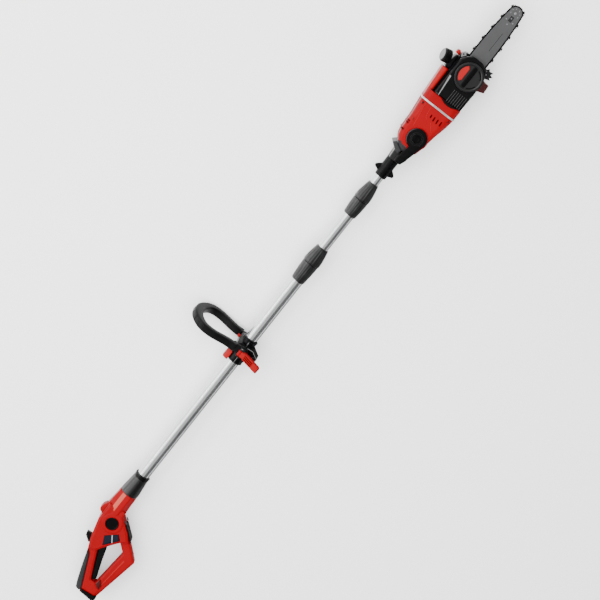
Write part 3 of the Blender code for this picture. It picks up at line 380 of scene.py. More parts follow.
def lathe(name, profile, look, centre=(0.0, 0.0, 0.0), axis=(1.0, 0.0, 0.0), steps=72, ripple=None,
          closed=True, angle=32.0):
    """Solid of revolution; ripple(angle, along, radius) gives ribs and flutes."""
    bm = bmesh.new()
    rings = []
    for along, radius in profile:
        if radius < 0.00001:
            rings.append([bm.verts.new((along, 0.0, 0.0))])
            continue
        ring = []
        for step in range(steps):
            turn = 2.0 * math.pi * step / steps
            size = ripple(turn, along, radius) if ripple else radius
            ring.append(bm.verts.new((along, size * math.cos(turn), size * math.sin(turn))))
        rings.append(ring)
    pairs = list(zip(rings, rings[1:]))
    if closed:
        pairs.append((rings[-1], rings[0]))
    for first, second in pairs:
        if len(first) == 1 and len(second) == 1:
            continue
        for step in range(steps):
            following = (step + 1) % steps
            if len(first) == 1:
                bm.faces.new((first[0], second[step], second[following]))
            elif len(second) == 1:
                bm.faces.new((first[step], first[following], second[0]))
            else:
                bm.faces.new((first[step], first[following], second[following], second[step]))
    along = Vector(axis).normalized()
    lean = Vector((1.0, 0.0, 0.0)) if abs(along.y) > 0.9 else Vector((0.0, 1.0, 0.0))
    side = (lean - along * lean.dot(along)).normalized()
    third = along.cross(side)
    bm.transform(Matrix.Translation(Vector(centre)) @ Matrix((along, side, third)).transposed().to_4x4())
    return finish_mesh(bm, name, look, angle)


def squircle(low, high, depth_low, depth_high, corner, steps=7):
    """Rounded rectangle of (y, z) points."""
    points = []
    for y, z, start in ((high - corner, depth_high - corner, 0.0), (low + corner, depth_high - corner, 90.0),
                        (low + corner, depth_low + corner, 180.0), (high - corner, depth_low + corner,
                                                                    270.0)):
        points.extend(arc((y, z), corner, start, start + 90.0, steps))
    return points


def loft(name, sections, look, angle=32.0):
    bm = bmesh.new()
    rings = [[bm.verts.new((x, y, z)) for y, z in points] for x, points in sections]
    return skin(bm, rings, name, look, angle)


def curve_through(points, steps):
    """Catmull-Rom curve through the points, ends included."""
    points = [Vector(point) for point in points]
    padded = [points[0] * 2.0 - points[1]] + points + [points[-1] * 2.0 - points[-2]]
    route = []
    for index in range(1, len(padded) - 2):
        before, start, end, after = padded[index - 1:index + 3]
        for step in range(steps):
            t = step / steps
            route.append(0.5 * (2.0 * start + (end - before) * t
                                + (2.0 * before - 5.0 * start + 4.0 * end - after) * t * t
                                + (3.0 * start - before - 3.0 * end + after) * t * t * t))
    route.append(padded[-2])
    return route


def sweep(name, route, section, look, across=Vector((1.0, 0.0, 0.0)), angle=32.0):
    """Strap along a route; section(t) gives (across, out) points at the share t of the route."""
    bm = bmesh.new()
    rings = []
    last = len(route) - 1
    for index, place in enumerate(route):
        along = (route[min(index + 1, last)] - route[max(index - 1, 0)]).normalized()
        third = along.cross(across).normalized()
        side = third.cross(along).normalized()
        rings.append([bm.verts.new(place + side * a + third * b) for a, b in section(index / last)])
    return skin(bm, rings, name, look, angle)


def cuboid(name, low, high, look, radius=0.0006, segments=3):
    outline = [(low[0], low[1]), (high[0], low[1]), (high[0], high[1]), (low[0], high[1])]
    obj = pillow(name, outline, [(0.0, low[2]), (0.0, high[2])], look)
    if radius:
        soften(obj, radius, segments)
    return obj


def stroke(name, start, end, width, low, high, look, radius=0.0004):
    """Slim rounded bar drawn between two points of the XY plane."""
    a, b = Vector(start), Vector(end)
    turn = math.degrees(math.atan2(b.y - a.y, b.x - a.x))
    outline = arc(a, width / 2.0, turn + 90.0, turn + 270.0, 8) + arc(b, width / 2.0, turn - 90.0,
                                                                      turn + 90.0, 8)
    rim = min(radius, width * 0.3)
    return pillow(name, outline, [(0.0, low), (0.0, high - rim), (rim * 0.3, high - rim * 0.3), (rim, high)],
                  look)


def torx_screw(name, place, radius, axis, look="dark_steel"):
    """Pan-head screw with a six-lobed recess."""
    head = [(0.0, 0.0), (0.0, radius), (radius * 0.3, radius * 0.96), (radius * 0.52, radius * 0.72),
            (radius * 0.58, radius * 0.5), (radius * 0.1, radius * 0.42), (radius * 0.08, 0.0)]

    def lobes(turn, along, size):
        return size * (1.0 + 0.16 * math.cos(6.0 * turn)) if size < radius * 0.55 else size

    return lathe(name, head, look, place, axis, steps=48, ripple=lobes, closed=True)


def put(obj, body, slot, *nodes):
    """Place a piece that was made in the tool's axes, tie it to its body and hide the CAD nodes it stands for;
    the slot is not used.
    """
    obj.data.transform(Matrix.Translation(ORIGIN))
    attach(obj, body)
    if nodes:
        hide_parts(*nodes)
    return obj


# ---------------------------------------------------------------- rear handle
HANDLE_DEPTH = tool_box("handle_shell_right")[1].z
GRIP_DEPTH = tool_box("grip_overmould")[1].z
STRUT_DEPTH = 0.0146
SEAM = 0.00025

STRUTS = [(-0.17, -0.056), (-0.17, -0.074), (-0.228, -0.1362), (-0.3785, -0.11), (-0.36, -0.072),
          (-0.341, -0.0845), (-0.224, -0.093), (-0.196, -0.061)]
GRIP = [(-0.25, -0.005), (-0.2662, -0.0028), (-0.284, -0.0197), (-0.3825, -0.0617), (-0.379, -0.104),
        (-0.356, -0.108), (-0.345, -0.084), (-0.344, -0.067), (-0.259, -0.029)]
BODY = [(-0.118, 0.0262), (-0.178, 0.0252), (-0.232, 0.011), (-0.2662, -0.0022), (-0.2622, -0.025),
        (-0.243, -0.035), (-0.2, -0.066), (-0.186, -0.086), (-0.164, -0.0683), (-0.148, -0.048),
        (-0.134, -0.0306), (-0.118, -0.028)]
BODY_DEPTH = 0.0243


def half_levels(steps, side):
    """Levels from the seam to the outer face; on the left side they are mirrored."""
    levels = [(0.0, SEAM)] + list(steps)
    return [(amount, side * z) for amount, z in levels]


def roll(depth, rim, steps=4):
    """Levels of a rounded rim that ends on a flat face."""
    levels = []
    for step in range(steps + 1):
        angle = math.pi / 2.0 * step / steps
        levels.append((rim * (1.0 - math.cos(angle)), depth - rim + rim * math.sin(angle)))
    return levels


def both_faces(rim):
    """Levels of a rim at the right, with the same rim mirrored to the left before them."""
    return [(amount, -z) for amount, z in reversed(rim)] + rim


def slanted(depth, wall, width):
    """Levels of a side wall with a wide slanted facet on its edge."""
    rise = width * math.tan(math.radians(28.0))
    return [(0.0, depth - rise - wall), (0.0, depth - rise - 0.0008), (0.0004, depth - rise),
            (width - 0.0006, depth - 0.0006), (width + 0.0004, depth)]


NECK_DEPTH = 0.0262


def neck_sections(side):
    """Half sections of the neck: flat side, a wide slanted facet above it and a narrow top."""
    rows = [(-0.0686, -0.026, 0.0262, 0.0258), (-0.072, -0.0264, 0.0266, 0.0262),
            (-0.1, -0.0272, 0.0284, 0.0262), (-0.128, -0.029, 0.0308, 0.0262),
            (-0.14, -0.03, 0.03, 0.0262), (-0.156, -0.029, 0.027, 0.0258)]
    sections = []
    for x, low, high, depth in rows:
        shape = [(high, SEAM), (high, 0.0098), (high - 0.0016, 0.0132), (high - 0.0052, 0.0158),
                 (high - 0.0066, 0.0164), (0.017, 0.0206), (0.0155, 0.0214), (0.004, depth - 0.0008),
                 (0.0016, depth), (-0.009, depth), (-0.0125, depth - 0.0016), (low + 0.0065, 0.0145),
                 (low + 0.002, 0.0095), (low, 0.006), (low, SEAM)]
        sections.append((x, [(y, side * z) for y, z in shape]))
    return sections


def build_rear_handle():
    for side, node in ((1.0, "handle_shell_right"), (-1.0, "handle_shell_left")):
        struts = pillow(f"{node}_struts", fillet(STRUTS, [0.0, 0.002, 0.0035, 0.003, 0.0, 0.003, 0.01, 0.0],
                                                 5), half_levels(slanted(STRUT_DEPTH, 0.003, 0.0055), side),
                        "red", 20.0)
        put(struts, "pole", "red", node)
        body = pillow(f"{node}_body", fillet(BODY, [0.0, 0.01, 0.01, 0.003, 0.002, 0.006, 0.01, 0.004, 0.006,
                                                    0.01, 0.01, 0.0], 6),
                      half_levels(slanted(BODY_DEPTH, 0.008, 0.006), side), "red", 20.0)
        put(body, "pole", "red", node)
        put(loft(f"{node}_neck", neck_sections(side), "red", 20.0), "pole", "red", node)
        # The slanted facet on the neck is laid over again in the light salmon colour: a painted highlight.
        slope = [(0.004, side * (NECK_DEPTH - 0.0012)), (0.0042, side * (NECK_DEPTH - 0.0006)),
                 (0.0158, side * 0.0216), (0.0156, side * 0.0208)]
        facet = loft(f"{node}_neck_facet", [(-0.07, slope), (-0.127, slope), (-0.13,
                                                                              slope[:1] * 2
                                                                              + slope[1:2] * 2)], "neck_highlight",
                     20.0)
        put(facet, "pole", "red", node)
        grip = pillow(f"{node}_grip", fillet(GRIP, [0.0, 0.002, 0.01, 0.002, 0.004, 0.0, 0.003, 0.005, 0.0],
                                             5), half_levels(slanted(GRIP_DEPTH, 0.004, 0.005), side), "red",
                      20.0)
        put(grip, "pole", "red", node)

        bump = pillow(f"{node}_bump", fillet([(-0.123, 0.02), (-0.129, 0.0335), (-0.138, 0.0384),
                                              (-0.15, 0.0398), (-0.156, 0.036), (-0.164, 0.02)],
                                             0.0022, 4),
                      half_levels(roll(0.014, 0.003), side), "red")
        put(bump, "pole", "red", node)

        boss = lathe(f"{node}_boss", [(SEAM, 0.0), (SEAM, 0.0335), (0.018, 0.0335), (0.0225, 0.0328),
                                      (0.025, 0.0305), (HANDLE_DEPTH - 0.0002, 0.0278),
                                      (HANDLE_DEPTH, 0.026), (HANDLE_DEPTH, 0.0199),
                                      (HANDLE_DEPTH - 0.0016, 0.0193), (HANDLE_DEPTH - 0.0016, 0.0)],
                     "red", (-0.164, -0.014, 0.0), (0.0, 0.0, side), steps=96)
        put(boss, "pole", "red", node)

        # Raised rib along the lower strut in the lighter red: a painted highlight line along the strut's middle.
        rib = pillow(f"{node}_strut_highlight_rib", fillet([(-0.235, -0.106), (-0.24, -0.114), (-0.366, -0.101),
                                                  (-0.36, -0.096)], 0.002, 4),
                     half_levels([(0.0, 0.012), (0.0, 0.0136), (0.003, 0.0152), (0.0034, 0.0153)], side),
                     "red_lit", 20.0)
        put(rib, "pole", "red", node)
        knee = pillow(f"{node}_knee", fillet([(-0.3455, -0.086), (-0.325, -0.0878), (-0.34, -0.101),
                                              (-0.356, -0.103)], 0.002, 3),
                      half_levels([(0.0, 0.012), (0.0, 0.0176), (0.001, 0.0182)], side), "maroon")
        put(knee, "pole", "red", node)

        screws = [(-0.09, -0.006), (-0.123, -0.006), (-0.218, -0.118), (-0.366, -0.09),
                  (-0.245, -0.01), (-0.208, -0.085)]
        depths = [0.0262, 0.0262, STRUT_DEPTH, GRIP_DEPTH, BODY_DEPTH, STRUT_DEPTH]
        if side < 0.0:
            for number, (place, depth) in enumerate(zip(screws, depths), 1):
                put(torx_screw(f"handle_screw_{number}", (*place, -depth + 0.0004), 0.003, (0.0, 0.0, -1.0)),
                    "pole", "dark_steel")
                collar = lathe(f"handle_screw_well_{number}",
                               [(0.0, 0.0034), (0.0, 0.0052), (0.0008, 0.0048), (0.0008, 0.0038)], "red",
                               (*place, -depth + 0.0002), (0.0, 0.0, -1.0), steps=40)
                put(collar, "pole", "red", node)

    disc = lathe("side_cap_disc", [(0.0, 0.0), (0.0, 0.0186), (0.0016, 0.019), (0.0028, 0.018),
                                   (0.003, 0.0168), (0.0024, 0.0158), (0.0026, 0.01), (0.0027, 0.0)],
                 "black_gloss", (-0.164, -0.014, HANDLE_DEPTH - 0.0015), UP, steps=96)
    put(disc, "pole", "black", "side_cap")

    corners = [Vector(p) for p in ((-0.2062, -0.0175), (-0.1785, -0.0485), (-0.1935, -0.0625),
                                   (-0.234, -0.0305))]
    upper_mid = corners[0].lerp(corners[1], 0.55)
    lower_mid = corners[3].lerp(corners[2], 0.55)
    face = 0.0243
    bezel = pillow("side_window_bezel", fillet([tuple(p) for p in corners], 0.0012, 3),
                   [(0.0, face - 0.002), (0.0, face + 0.0004), (0.0009, face + 0.0009)], "black")
    put(bezel, "pole", "black", "side_window")
    for number, quad in enumerate(((corners[0], upper_mid, lower_mid, corners[3]),
                                   (upper_mid, corners[1], corners[2], lower_mid)), 1):
        pane = pillow(f"side_window_pane_{number}", fillet([tuple(p) for p in quad], 0.0012, 3),
                      [(0.0016, face), (0.0016, face + 0.0011), (0.0021, face + 0.0013)], "navy")
        put(pane, "pole", "black", "side_window")
    divider = stroke("side_window_divider", upper_mid.lerp(lower_mid, 0.08), upper_mid.lerp(lower_mid, 0.94),
                     0.0024, face, face + 0.0017, "silver")
    put(divider, "pole", "light", "side_window")

    soft = [(-0.2672, -0.003), (-0.2848, -0.0192), (-0.3828, -0.061), (-0.3912, -0.0598),
            (-0.3895, -0.046), (-0.37, -0.0372), (-0.318, -0.0188)]
    grip = pillow("soft_grip", fillet(soft, [0.002, 0.002, 0.003, 0.004, 0.008, 0.02, 0.02], 5),
                  both_faces(roll(GRIP_DEPTH, 0.0048, 5)), "soft")
    put(grip, "pole", "soft", "grip_overmould")
    for number in range(9):
        share = number / 8.0
        x = -0.298 - 0.074 * share
        y = -0.0112 - 0.0268 * share
        groove = stroke(f"soft_grip_rib_{number + 1}", (x, y - 0.003), (x - 0.003, y - 0.0098), 0.0016,
                        GRIP_DEPTH - 0.0016, GRIP_DEPTH + 0.0002, "soft", 0.0003)
        put(groove, "pole", "soft", "grip_overmould")

    cap = [(-0.383, -0.0616), (-0.3794, -0.1073), (-0.378, -0.1113), (-0.39, -0.1125), (-0.3965, -0.105),
           (-0.3925, -0.0605)]
    end = pillow("end_cap", fillet(cap, [0.001, 0.001, 0.002, 0.006, 0.006, 0.003], 5),
                 both_faces(roll(GRIP_DEPTH, 0.0035, 5)), "black")
    put(end, "pole", "black", "handle_end_cap")
    put(torx_screw("end_cap_bolt", (-0.3868, -0.065, GRIP_DEPTH - 0.0003), 0.0022, UP, "maroon"),
        "pole", "maroon")

    def facets(turn, along, size):
        return size * (1.0 + 0.014 * math.cos(8.0 * turn))

    collar = lathe("collar_shell", [(-0.0684, 0.0184), (-0.0684, 0.026), (-0.0668, 0.0266), (-0.064, 0.0268),
                                    (-0.056, 0.0264), (-0.035, 0.0242), (-0.013, 0.022), (-0.011, 0.0216),
                                    (-0.011, 0.0184)], "black_sheen", steps=96, ripple=facets)
    put(collar, "pole", "grey", "tube_collar")
    lip = lathe("collar_lip", [(-0.0112, 0.0184), (-0.0112, 0.0214), (-0.008, 0.0222), (-0.003, 0.0228),
                               (-0.0008, 0.0233), (0.0, 0.0228), (-0.0004, 0.0206), (-0.003, 0.019),
                               (-0.004, 0.0184)], "black", steps=96)
    put(lip, "pole", "grey", "tube_collar")
    for number, angle in enumerate((35.0, 155.0, 275.0), 1):
        turn = math.radians(angle)
        rib = cuboid(f"collar_rib_{number}", (-0.062, -0.0006, 0.0), (-0.016, 0.0006, 0.0009), "black_sheen",
                     0.0003)
        rib.data.transform(Matrix.Translation((0.0, 0.0, 0.0264)))
        for vert in rib.data.vertices:
            vert.co.z -= 0.0043 * (vert.co.x + 0.062) / 0.046
        rib.data.transform(Matrix.Rotation(turn, 4, "X"))
        put(rib, "pole", "grey", "tube_collar")

    trigger = [(-0.2395, -0.026), (-0.2377, -0.047), (-0.285, -0.0612), (-0.333, -0.0785),
               (-0.3425, -0.0745), (-0.3405, -0.0655), (-0.26, -0.032), (-0.254, -0.0242)]
    blade = pillow("trigger_blade", fillet(trigger, [0.002, 0.006, 0.03, 0.004, 0.004, 0.004, 0.002, 0.002],
                                           6), both_faces(roll(0.0079, 0.0022, 4)), "black")
    put(blade, "trigger", "black", "trigger")
    web = pillow("trigger_web", [(-0.3405, -0.0662), (-0.26, -0.0327), (-0.2616, -0.0284), (-0.3402, -0.0612)],
                 [(0.0, -0.0022), (0.0, 0.0022)], "black")
    put(web, "trigger", "black", "trigger")
    for number in range(7):
        share = number / 6.0
        x = -0.256 - 0.064 * share
        y = -0.0505 - 0.0215 * share
        ridge = stroke(f"trigger_ridge_{number + 1}", (x, y), (x - 0.0014, y + 0.005), 0.0012, 0.007, 0.0084,
                       "black", 0.0002)
        put(ridge, "trigger", "black", "trigger")

    button = [(-0.2318, 0.0118), (-0.232, 0.0265), (-0.244, 0.024), (-0.2575, 0.006), (-0.256, 0.001),
              (-0.248, -0.003), (-0.233, 0.001)]
    knob = pillow("lock_off_body", fillet(button, [0.001, 0.0025, 0.003, 0.002, 0.001, 0.001, 0.001], 5),
                  both_faces(roll(0.0071, 0.0015, 4)),
                  "black")
    put(knob, "lock_off", "black", "lock_off_button")
    for number in range(4):
        start = Vector((-0.2345, 0.0252)).lerp(Vector((-0.2425, 0.023)), number / 3.0)
        ridge = cuboid(f"lock_off_ridge_{number + 1}", (start.x - 0.0006, start.y - 0.001, -0.0062),
                       (start.x + 0.0006, start.y + 0.0012, 0.0062), "black", 0.0004)
        put(ridge, "lock_off", "black", "lock_off_button")

    rail = [(-0.148, -0.0484), (-0.1445, -0.05), (-0.1775, -0.0898), (-0.1866, -0.0922), (-0.1838, -0.0895),
            (-0.1636, -0.069)]
    strip = pillow("rail_strip", fillet(rail, 0.001, 3), [(0.0008, -0.02), (0.0, -0.0192), (0.0, 0.0192),
                                                          (0.0008, 0.02)], "black")
    put(strip, "pole", "black", "battery_rail")
    for side in (-1.0, 1.0):
        guide = pillow(f"rail_guide_{'near' if side > 0 else 'far'}",
                       fillet([(-0.144, -0.048), (-0.1385, -0.04), (-0.1372, -0.042), (-0.1424, -0.05)],
                              0.0006, 3),
                       [(0.0, side * 0.013), (0.0, side * 0.0192), (0.0006, side * 0.0198)], "grey")
        put(guide, "pole", "black", "battery_rail")
    for number in range(5):
        z = -0.01 + 0.005 * number
        blade = pillow(f"battery_blade_{number + 1}", fillet([(-0.177, -0.048), (-0.1625, -0.0345), (-0.1615,
                                                                                                     -0.0365),
                                                              (-0.176, -0.05)], 0.0004, 3), [(0.0,
                                                                                              z - 0.0004),
                                                                                             (0.0,
                                                                                              z + 0.0004)],
                       "copper")
        put(blade, "pole", "black", "battery_contacts")
    carrier = cuboid("battery_carrier", (-0.1778, -0.044, -0.0118), (-0.164, -0.0345, 0.0118), "black",
                     0.0008)
    put(carrier, "pole", "black", "battery_contacts")

    low, high = tool_box("switch_module")
    put(cuboid("switch_case", low, (high.x, high.y - 0.006, high.z), "black", 0.0012), "pole", "black",
        "switch_module")
    put(cuboid("switch_lid", (low.x + 0.002, high.y - 0.0062, low.z + 0.001), (high.x - 0.002, high.y,
                                                                               high.z - 0.001), "charcoal",
               0.001), "pole", "black", "switch_module")
    for number in range(4):
        z = low.z + 0.006 + number * 0.0053
        put(cuboid(f"switch_terminal_{number + 1}", (high.x - 0.01, high.y - 0.0003, z),
                   (high.x - 0.005, high.y + 0.0026, z + 0.0016), "copper", 0.0003), "pole", "black",
            "switch_module")
    low, high = tool_box("trigger_spring")
    centre = (low + high) / 2.0
    axis = Vector((-0.33, 0.94, 0.0)).normalized()
    put(coil("trigger_coil", centre - axis * 0.0046, axis, 0.009, 0.0024, 0.00035, 5, "steel"), "pole",
        "steel", "trigger_spring")


def coil(name, start, axis, length, radius, wire, turns, look, steps_per_turn=14):
    """Helical spring or cable with a round wire."""
    along = Vector(axis).normalized()
    lean = Vector(UP)
    side = (lean - along * lean.dot(along)).normalized()
    third = along.cross(side)
    count = turns * steps_per_turn
    bm = bmesh.new()
    rings = []
    for step in range(count + 1):
        turn = 2.0 * math.pi * step / steps_per_turn
        out = side * math.cos(turn) + third * math.sin(turn)
        place = Vector(start) + along * (length * step / count) + out * radius
        ring = []
        for corner in range(7):
            phase = 2.0 * math.pi * corner / 7
            ring.append(bm.verts.new(place
                                     + out * (wire * math.cos(phase)) + along * (wire * math.sin(phase))))
        rings.append(ring)
    return skin(bm, rings, name, look, 60.0)


# ---------------------------------------------------------------- pole
def tube(node, body, wall=0.0015):
    low, high = tool_box(node)
    outer = (high.y - low.y) / 2.0 + 0.00005
    inner = outer - wall
    lip = 0.0004
    profile = [(low.x, inner + lip), (low.x, outer - lip), (low.x + lip, outer), (high.x - lip, outer),
               (high.x, outer - lip), (high.x, inner + lip), (high.x - lip, inner), (low.x + lip, inner)]
    put(lathe(f"{node}_wall", profile, "tube", steps=128), body, "aluminium", node)


def bush(node, body):
    low, high = tool_box(node)
    outer = (high.y - low.y) / 2.0
    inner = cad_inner(node)
    profile = [(low.x, inner), (low.x, outer - 0.0008), (low.x + 0.0015, outer - 0.0001), (high.x - 0.0015,
                                                                                           outer - 0.0001),
               (high.x, outer - 0.0008), (high.x, inner)]

    def splines(turn, along, size):
        return size - (0.0005 if size > inner + 0.001 and math.cos(10.0 * turn) > 0.6 else 0.0)

    put(lathe(f"{node}_ring", profile, "black", steps=120, ripple=splines), body, "black", node)


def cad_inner(node):
    """Smallest radius of a CAD node about the pole's axis."""
    verts = frame["nodes"][node].data.vertices
    return min(math.hypot(v.co.y - ORIGIN.y, v.co.z - ORIGIN.z) for v in verts)


def twist_lock(prefix, base_body, nut_body, stations, base_radii, nut_radii):
    """Fluted base and nut; the nut's flutes run the full taper."""
    rear, joint, front = stations
    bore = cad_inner(f"{prefix}_lock_base") + 0.0001
    nose = tool_box(f"{prefix}_lock_base")[1].x

    def base_flutes(turn, along, size):
        if size < base_radii[0] - 0.0014 or along < rear + 0.004 or along > joint - 0.0025:
            return size
        return size - 0.0009 * max(0.0, math.cos(20.0 * turn)) ** 2

    base = [(rear, bore), (rear, base_radii[0] - 0.0022), (rear + 0.0008, base_radii[0] - 0.001),
            (rear + 0.0035, base_radii[0] - 0.0001), (rear + 0.006, base_radii[0] + 0.0002),
            (rear + 0.5 * (joint - rear), (base_radii[0] + base_radii[1]) / 2.0 + 0.0006),
            (joint - 0.006, base_radii[1] - 0.0001), (joint - 0.0014, base_radii[1] - 0.0002),
            (joint - 0.0006, base_radii[1] - 0.0012), (joint - 0.0006, bore + 0.0014), (nose, bore + 0.0014),
            (nose, bore)]
    put(lathe(f"{prefix}_base_shell", base, "black_sheen", steps=192, ripple=base_flutes), base_body,
        "black", f"{prefix}_lock_base")

    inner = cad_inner(f"{prefix}_lock_nut")

    def nut_flutes(turn, along, size):
        if size < nut_radii[1] - 0.0002 or along < joint + 0.004 or along > front - 0.006:
            return size
        return size - 0.0011 * max(0.0, math.cos(16.0 * turn)) ** 2

    span = front - joint
    nut = [(joint + 0.0004, base_radii[1] - 0.006), (joint + 0.0004, nut_radii[0] - 0.0016),
           (joint + 0.0012, nut_radii[0] - 0.0003), (joint + 0.004, nut_radii[0]),
           (joint + 0.35 * span, nut_radii[0] - 0.1 * (nut_radii[0] - nut_radii[1])),
           (joint + 0.7 * span, nut_radii[0] - 0.55 * (nut_radii[0] - nut_radii[1])),
           (front - 0.006, nut_radii[1] + 0.0012), (front - 0.0015, nut_radii[1] + 0.0004),
           (front - 0.0002, nut_radii[1] - 0.0006), (front, nut_radii[1] - 0.0015), (front, inner + 0.0006),
           (front - 0.0006, inner + 0.0001), (front - 0.008, inner + 0.0001),
           (front - 0.014, base_radii[1] - 0.0062)]
    put(lathe(f"{prefix}_nut_shell", nut, "black_sheen", steps=180, ripple=nut_flutes), nut_body, "black",
        f"{prefix}_lock_nut")
    mark = stroke(f"{prefix}_nut_mark", (joint + 0.006, 0.0), (joint + 0.0125, 0.0), 0.0016, 0.0, 0.0006,
                  "pale", 0.0002)
    mark.data.transform(Matrix.Translation((0.0, 0.0, nut_radii[0] - 0.0004)))
    mark.data.transform(Matrix.Rotation(math.radians(-68.0), 4, "X"))
    put(mark, nut_body, "light")
    split_collet(prefix, base_body)


def split_collet(prefix, body):
    """Collet with lengthwise slits in its tapered nose."""
    node = f"{prefix}_lock_collet"
    low, high = tool_box(node)
    outer = (high.y - low.y) / 2.0
    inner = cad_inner(node)
    profile = [(low.x, inner), (low.x, outer), (high.x - 0.017, outer), (high.x - 0.001, outer - 0.0012),
               (high.x, outer - 0.0018), (high.x, inner)]
    ring = lathe(f"{prefix}_collet_ring", profile, "pale", steps=96)
    tools = []
    for number in range(3):
        slit = pillow("slit", [(low.x + 0.01, -0.0006), (high.x + 0.01, -0.0006), (high.x + 0.01, 0.0006),
                               (low.x + 0.01, 0.0006)], [(0.0, -0.04), (0.0, 0.04)], None)
        slit.data.transform(Matrix.Rotation(math.radians(60.0 * number + 15.0), 4, "X"))
        tools.append(slit)
    boolean(ring, tools)
    put(ring, body, "light", node)


def build_pole():
    tube("lower_tube", "pole")
    tube("mid_tube", "mid_pole")
    tube("upper_tube", "upper_pole")
    bush("mid_guide_bush", "mid_pole")
    bush("upper_guide_bush", "upper_pole")
    low, high = tool_box("coiled_cable")
    half = 0.5 * (high.x - low.x)
    for name, start, stretch in (("rear", low.x, ("pole", "mid_pole")), ("front", low.x + half, ("mid_pole",
                                                                                                 "upper_pole"))):
        cable = coil(f"cable_coil_{name}", (start, 0.0, 0.0), (1.0, 0.0, 0.0), half, 0.005, 0.0021, 95,
                     "cable", 12)
        cable.data.transform(Matrix.Translation(ORIGIN))
        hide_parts("coiled_cable")
        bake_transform(cable)
    lower_base, lower_nut = tool_box("lower_lock_base"), tool_box("lower_lock_nut")
    upper_base, upper_nut = tool_box("upper_lock_base"), tool_box("upper_lock_nut")
    twist_lock("lower", "pole", "lower_nut", (lower_base[0].x, lower_nut[0].x, lower_nut[1].x),
               (0.02, 0.0235), (0.0249, 0.018))
    twist_lock("upper", "mid_pole", "upper_nut", (upper_base[0].x, upper_nut[0].x, upper_nut[1].x),
               (0.019, 0.0221), (0.0229, 0.015))


# ---------------------------------------------------------------- front handle
JOINTS = {joint["name"]: joint for joint in frame["record"]["behaviour"]["joints"]}


def joint_place(name):
    return Vector(JOINTS[name]["pos_m"]) - ORIGIN


LOOP_AXIS = JOINTS["loop_angle"]["axis"]
YAW = (Matrix.Translation(Vector((joint_place("loop_angle").x, 0.0, 0.0)))
       @ Matrix.Rotation(math.atan2(LOOP_AXIS[0], LOOP_AXIS[2]), 4, "Y"))
LEVER_PIN = YAW.inverted() @ joint_place("clamp_lever_swing")
LINER_R = (tool_box("clamp_liner")[1].y - tool_box("clamp_liner")[0].y) / 2.0
SLEEVE_R = 0.0232
BLOCK_SIDE = 0.03
FOOT_THICK = 0.0085


def put_yawed(obj, body, slot, *nodes):
    obj.data.transform(YAW)
    return put(obj, body, slot, *nodes)


def half_sleeve(name, side):
    """Half shell of the clamp with a stepped, rolled rim at both ends."""
    rear, front = tool_box("clamp_half_upper")[0].x, tool_box("clamp_half_upper")[1].x
    rows = [(rear, SLEEVE_R - 0.0012), (rear + 0.0012, SLEEVE_R), (rear + 0.005, SLEEVE_R),
            (rear + 0.0056, SLEEVE_R - 0.0008), (front - 0.0056, SLEEVE_R - 0.0008),
            (front - 0.005, SLEEVE_R), (front - 0.0012, SLEEVE_R), (front, SLEEVE_R - 0.0012)]
    sections = []
    for x, radius in rows:
        outer = [(side * max(y, 0.0003), z) for z, y in arc((0.0, 0.0), radius, 0.0, 180.0, 40)]
        inner = [(side * max(y, 0.0003), z) for z, y in arc((0.0, 0.0), LINER_R + 0.0003, 180.0, 0.0, 40)]
        sections.append((x, outer + inner))
    return loft(name, sections, "black")


def clamp_block(name, side, reach):
    outline = [(-0.017, side * 0.001), (-0.017, side * 0.6 * reach), (-0.011, side * reach),
               (0.011, side * reach), (0.017, side * 0.6 * reach), (0.017, side * 0.001)]
    rim = roll(BLOCK_SIDE, 0.0022, 3)
    block = pillow(name, fillet(outline, [0.0004, 0.003, 0.003, 0.003, 0.003, 0.0004], 4),
                   both_faces(rim), "black")
    block.data.transform(YAW)
    bore = lathe("bore", [(-0.1, 0.0), (-0.1, LINER_R + 0.0003), (0.1, LINER_R + 0.0003), (0.1, 0.0)], None,
                 (0.46, 0.0, 0.0), steps=80)
    return boolean(block, [bore])


def loop_section(share):
    """Strap section: flat outside, fuller and padded round the tip where the hand holds it."""
    pad = math.exp(-((share - 0.5) / 0.17) ** 2)
    wide = 0.0122 + 0.0004 * pad
    thick = 0.007 + 0.001 * pad
    inwards = 0.007 + 0.013 * pad
    corner = 0.0034 + 0.0026 * pad
    return squircle(-wide, wide, -thick, inwards, corner, 5)


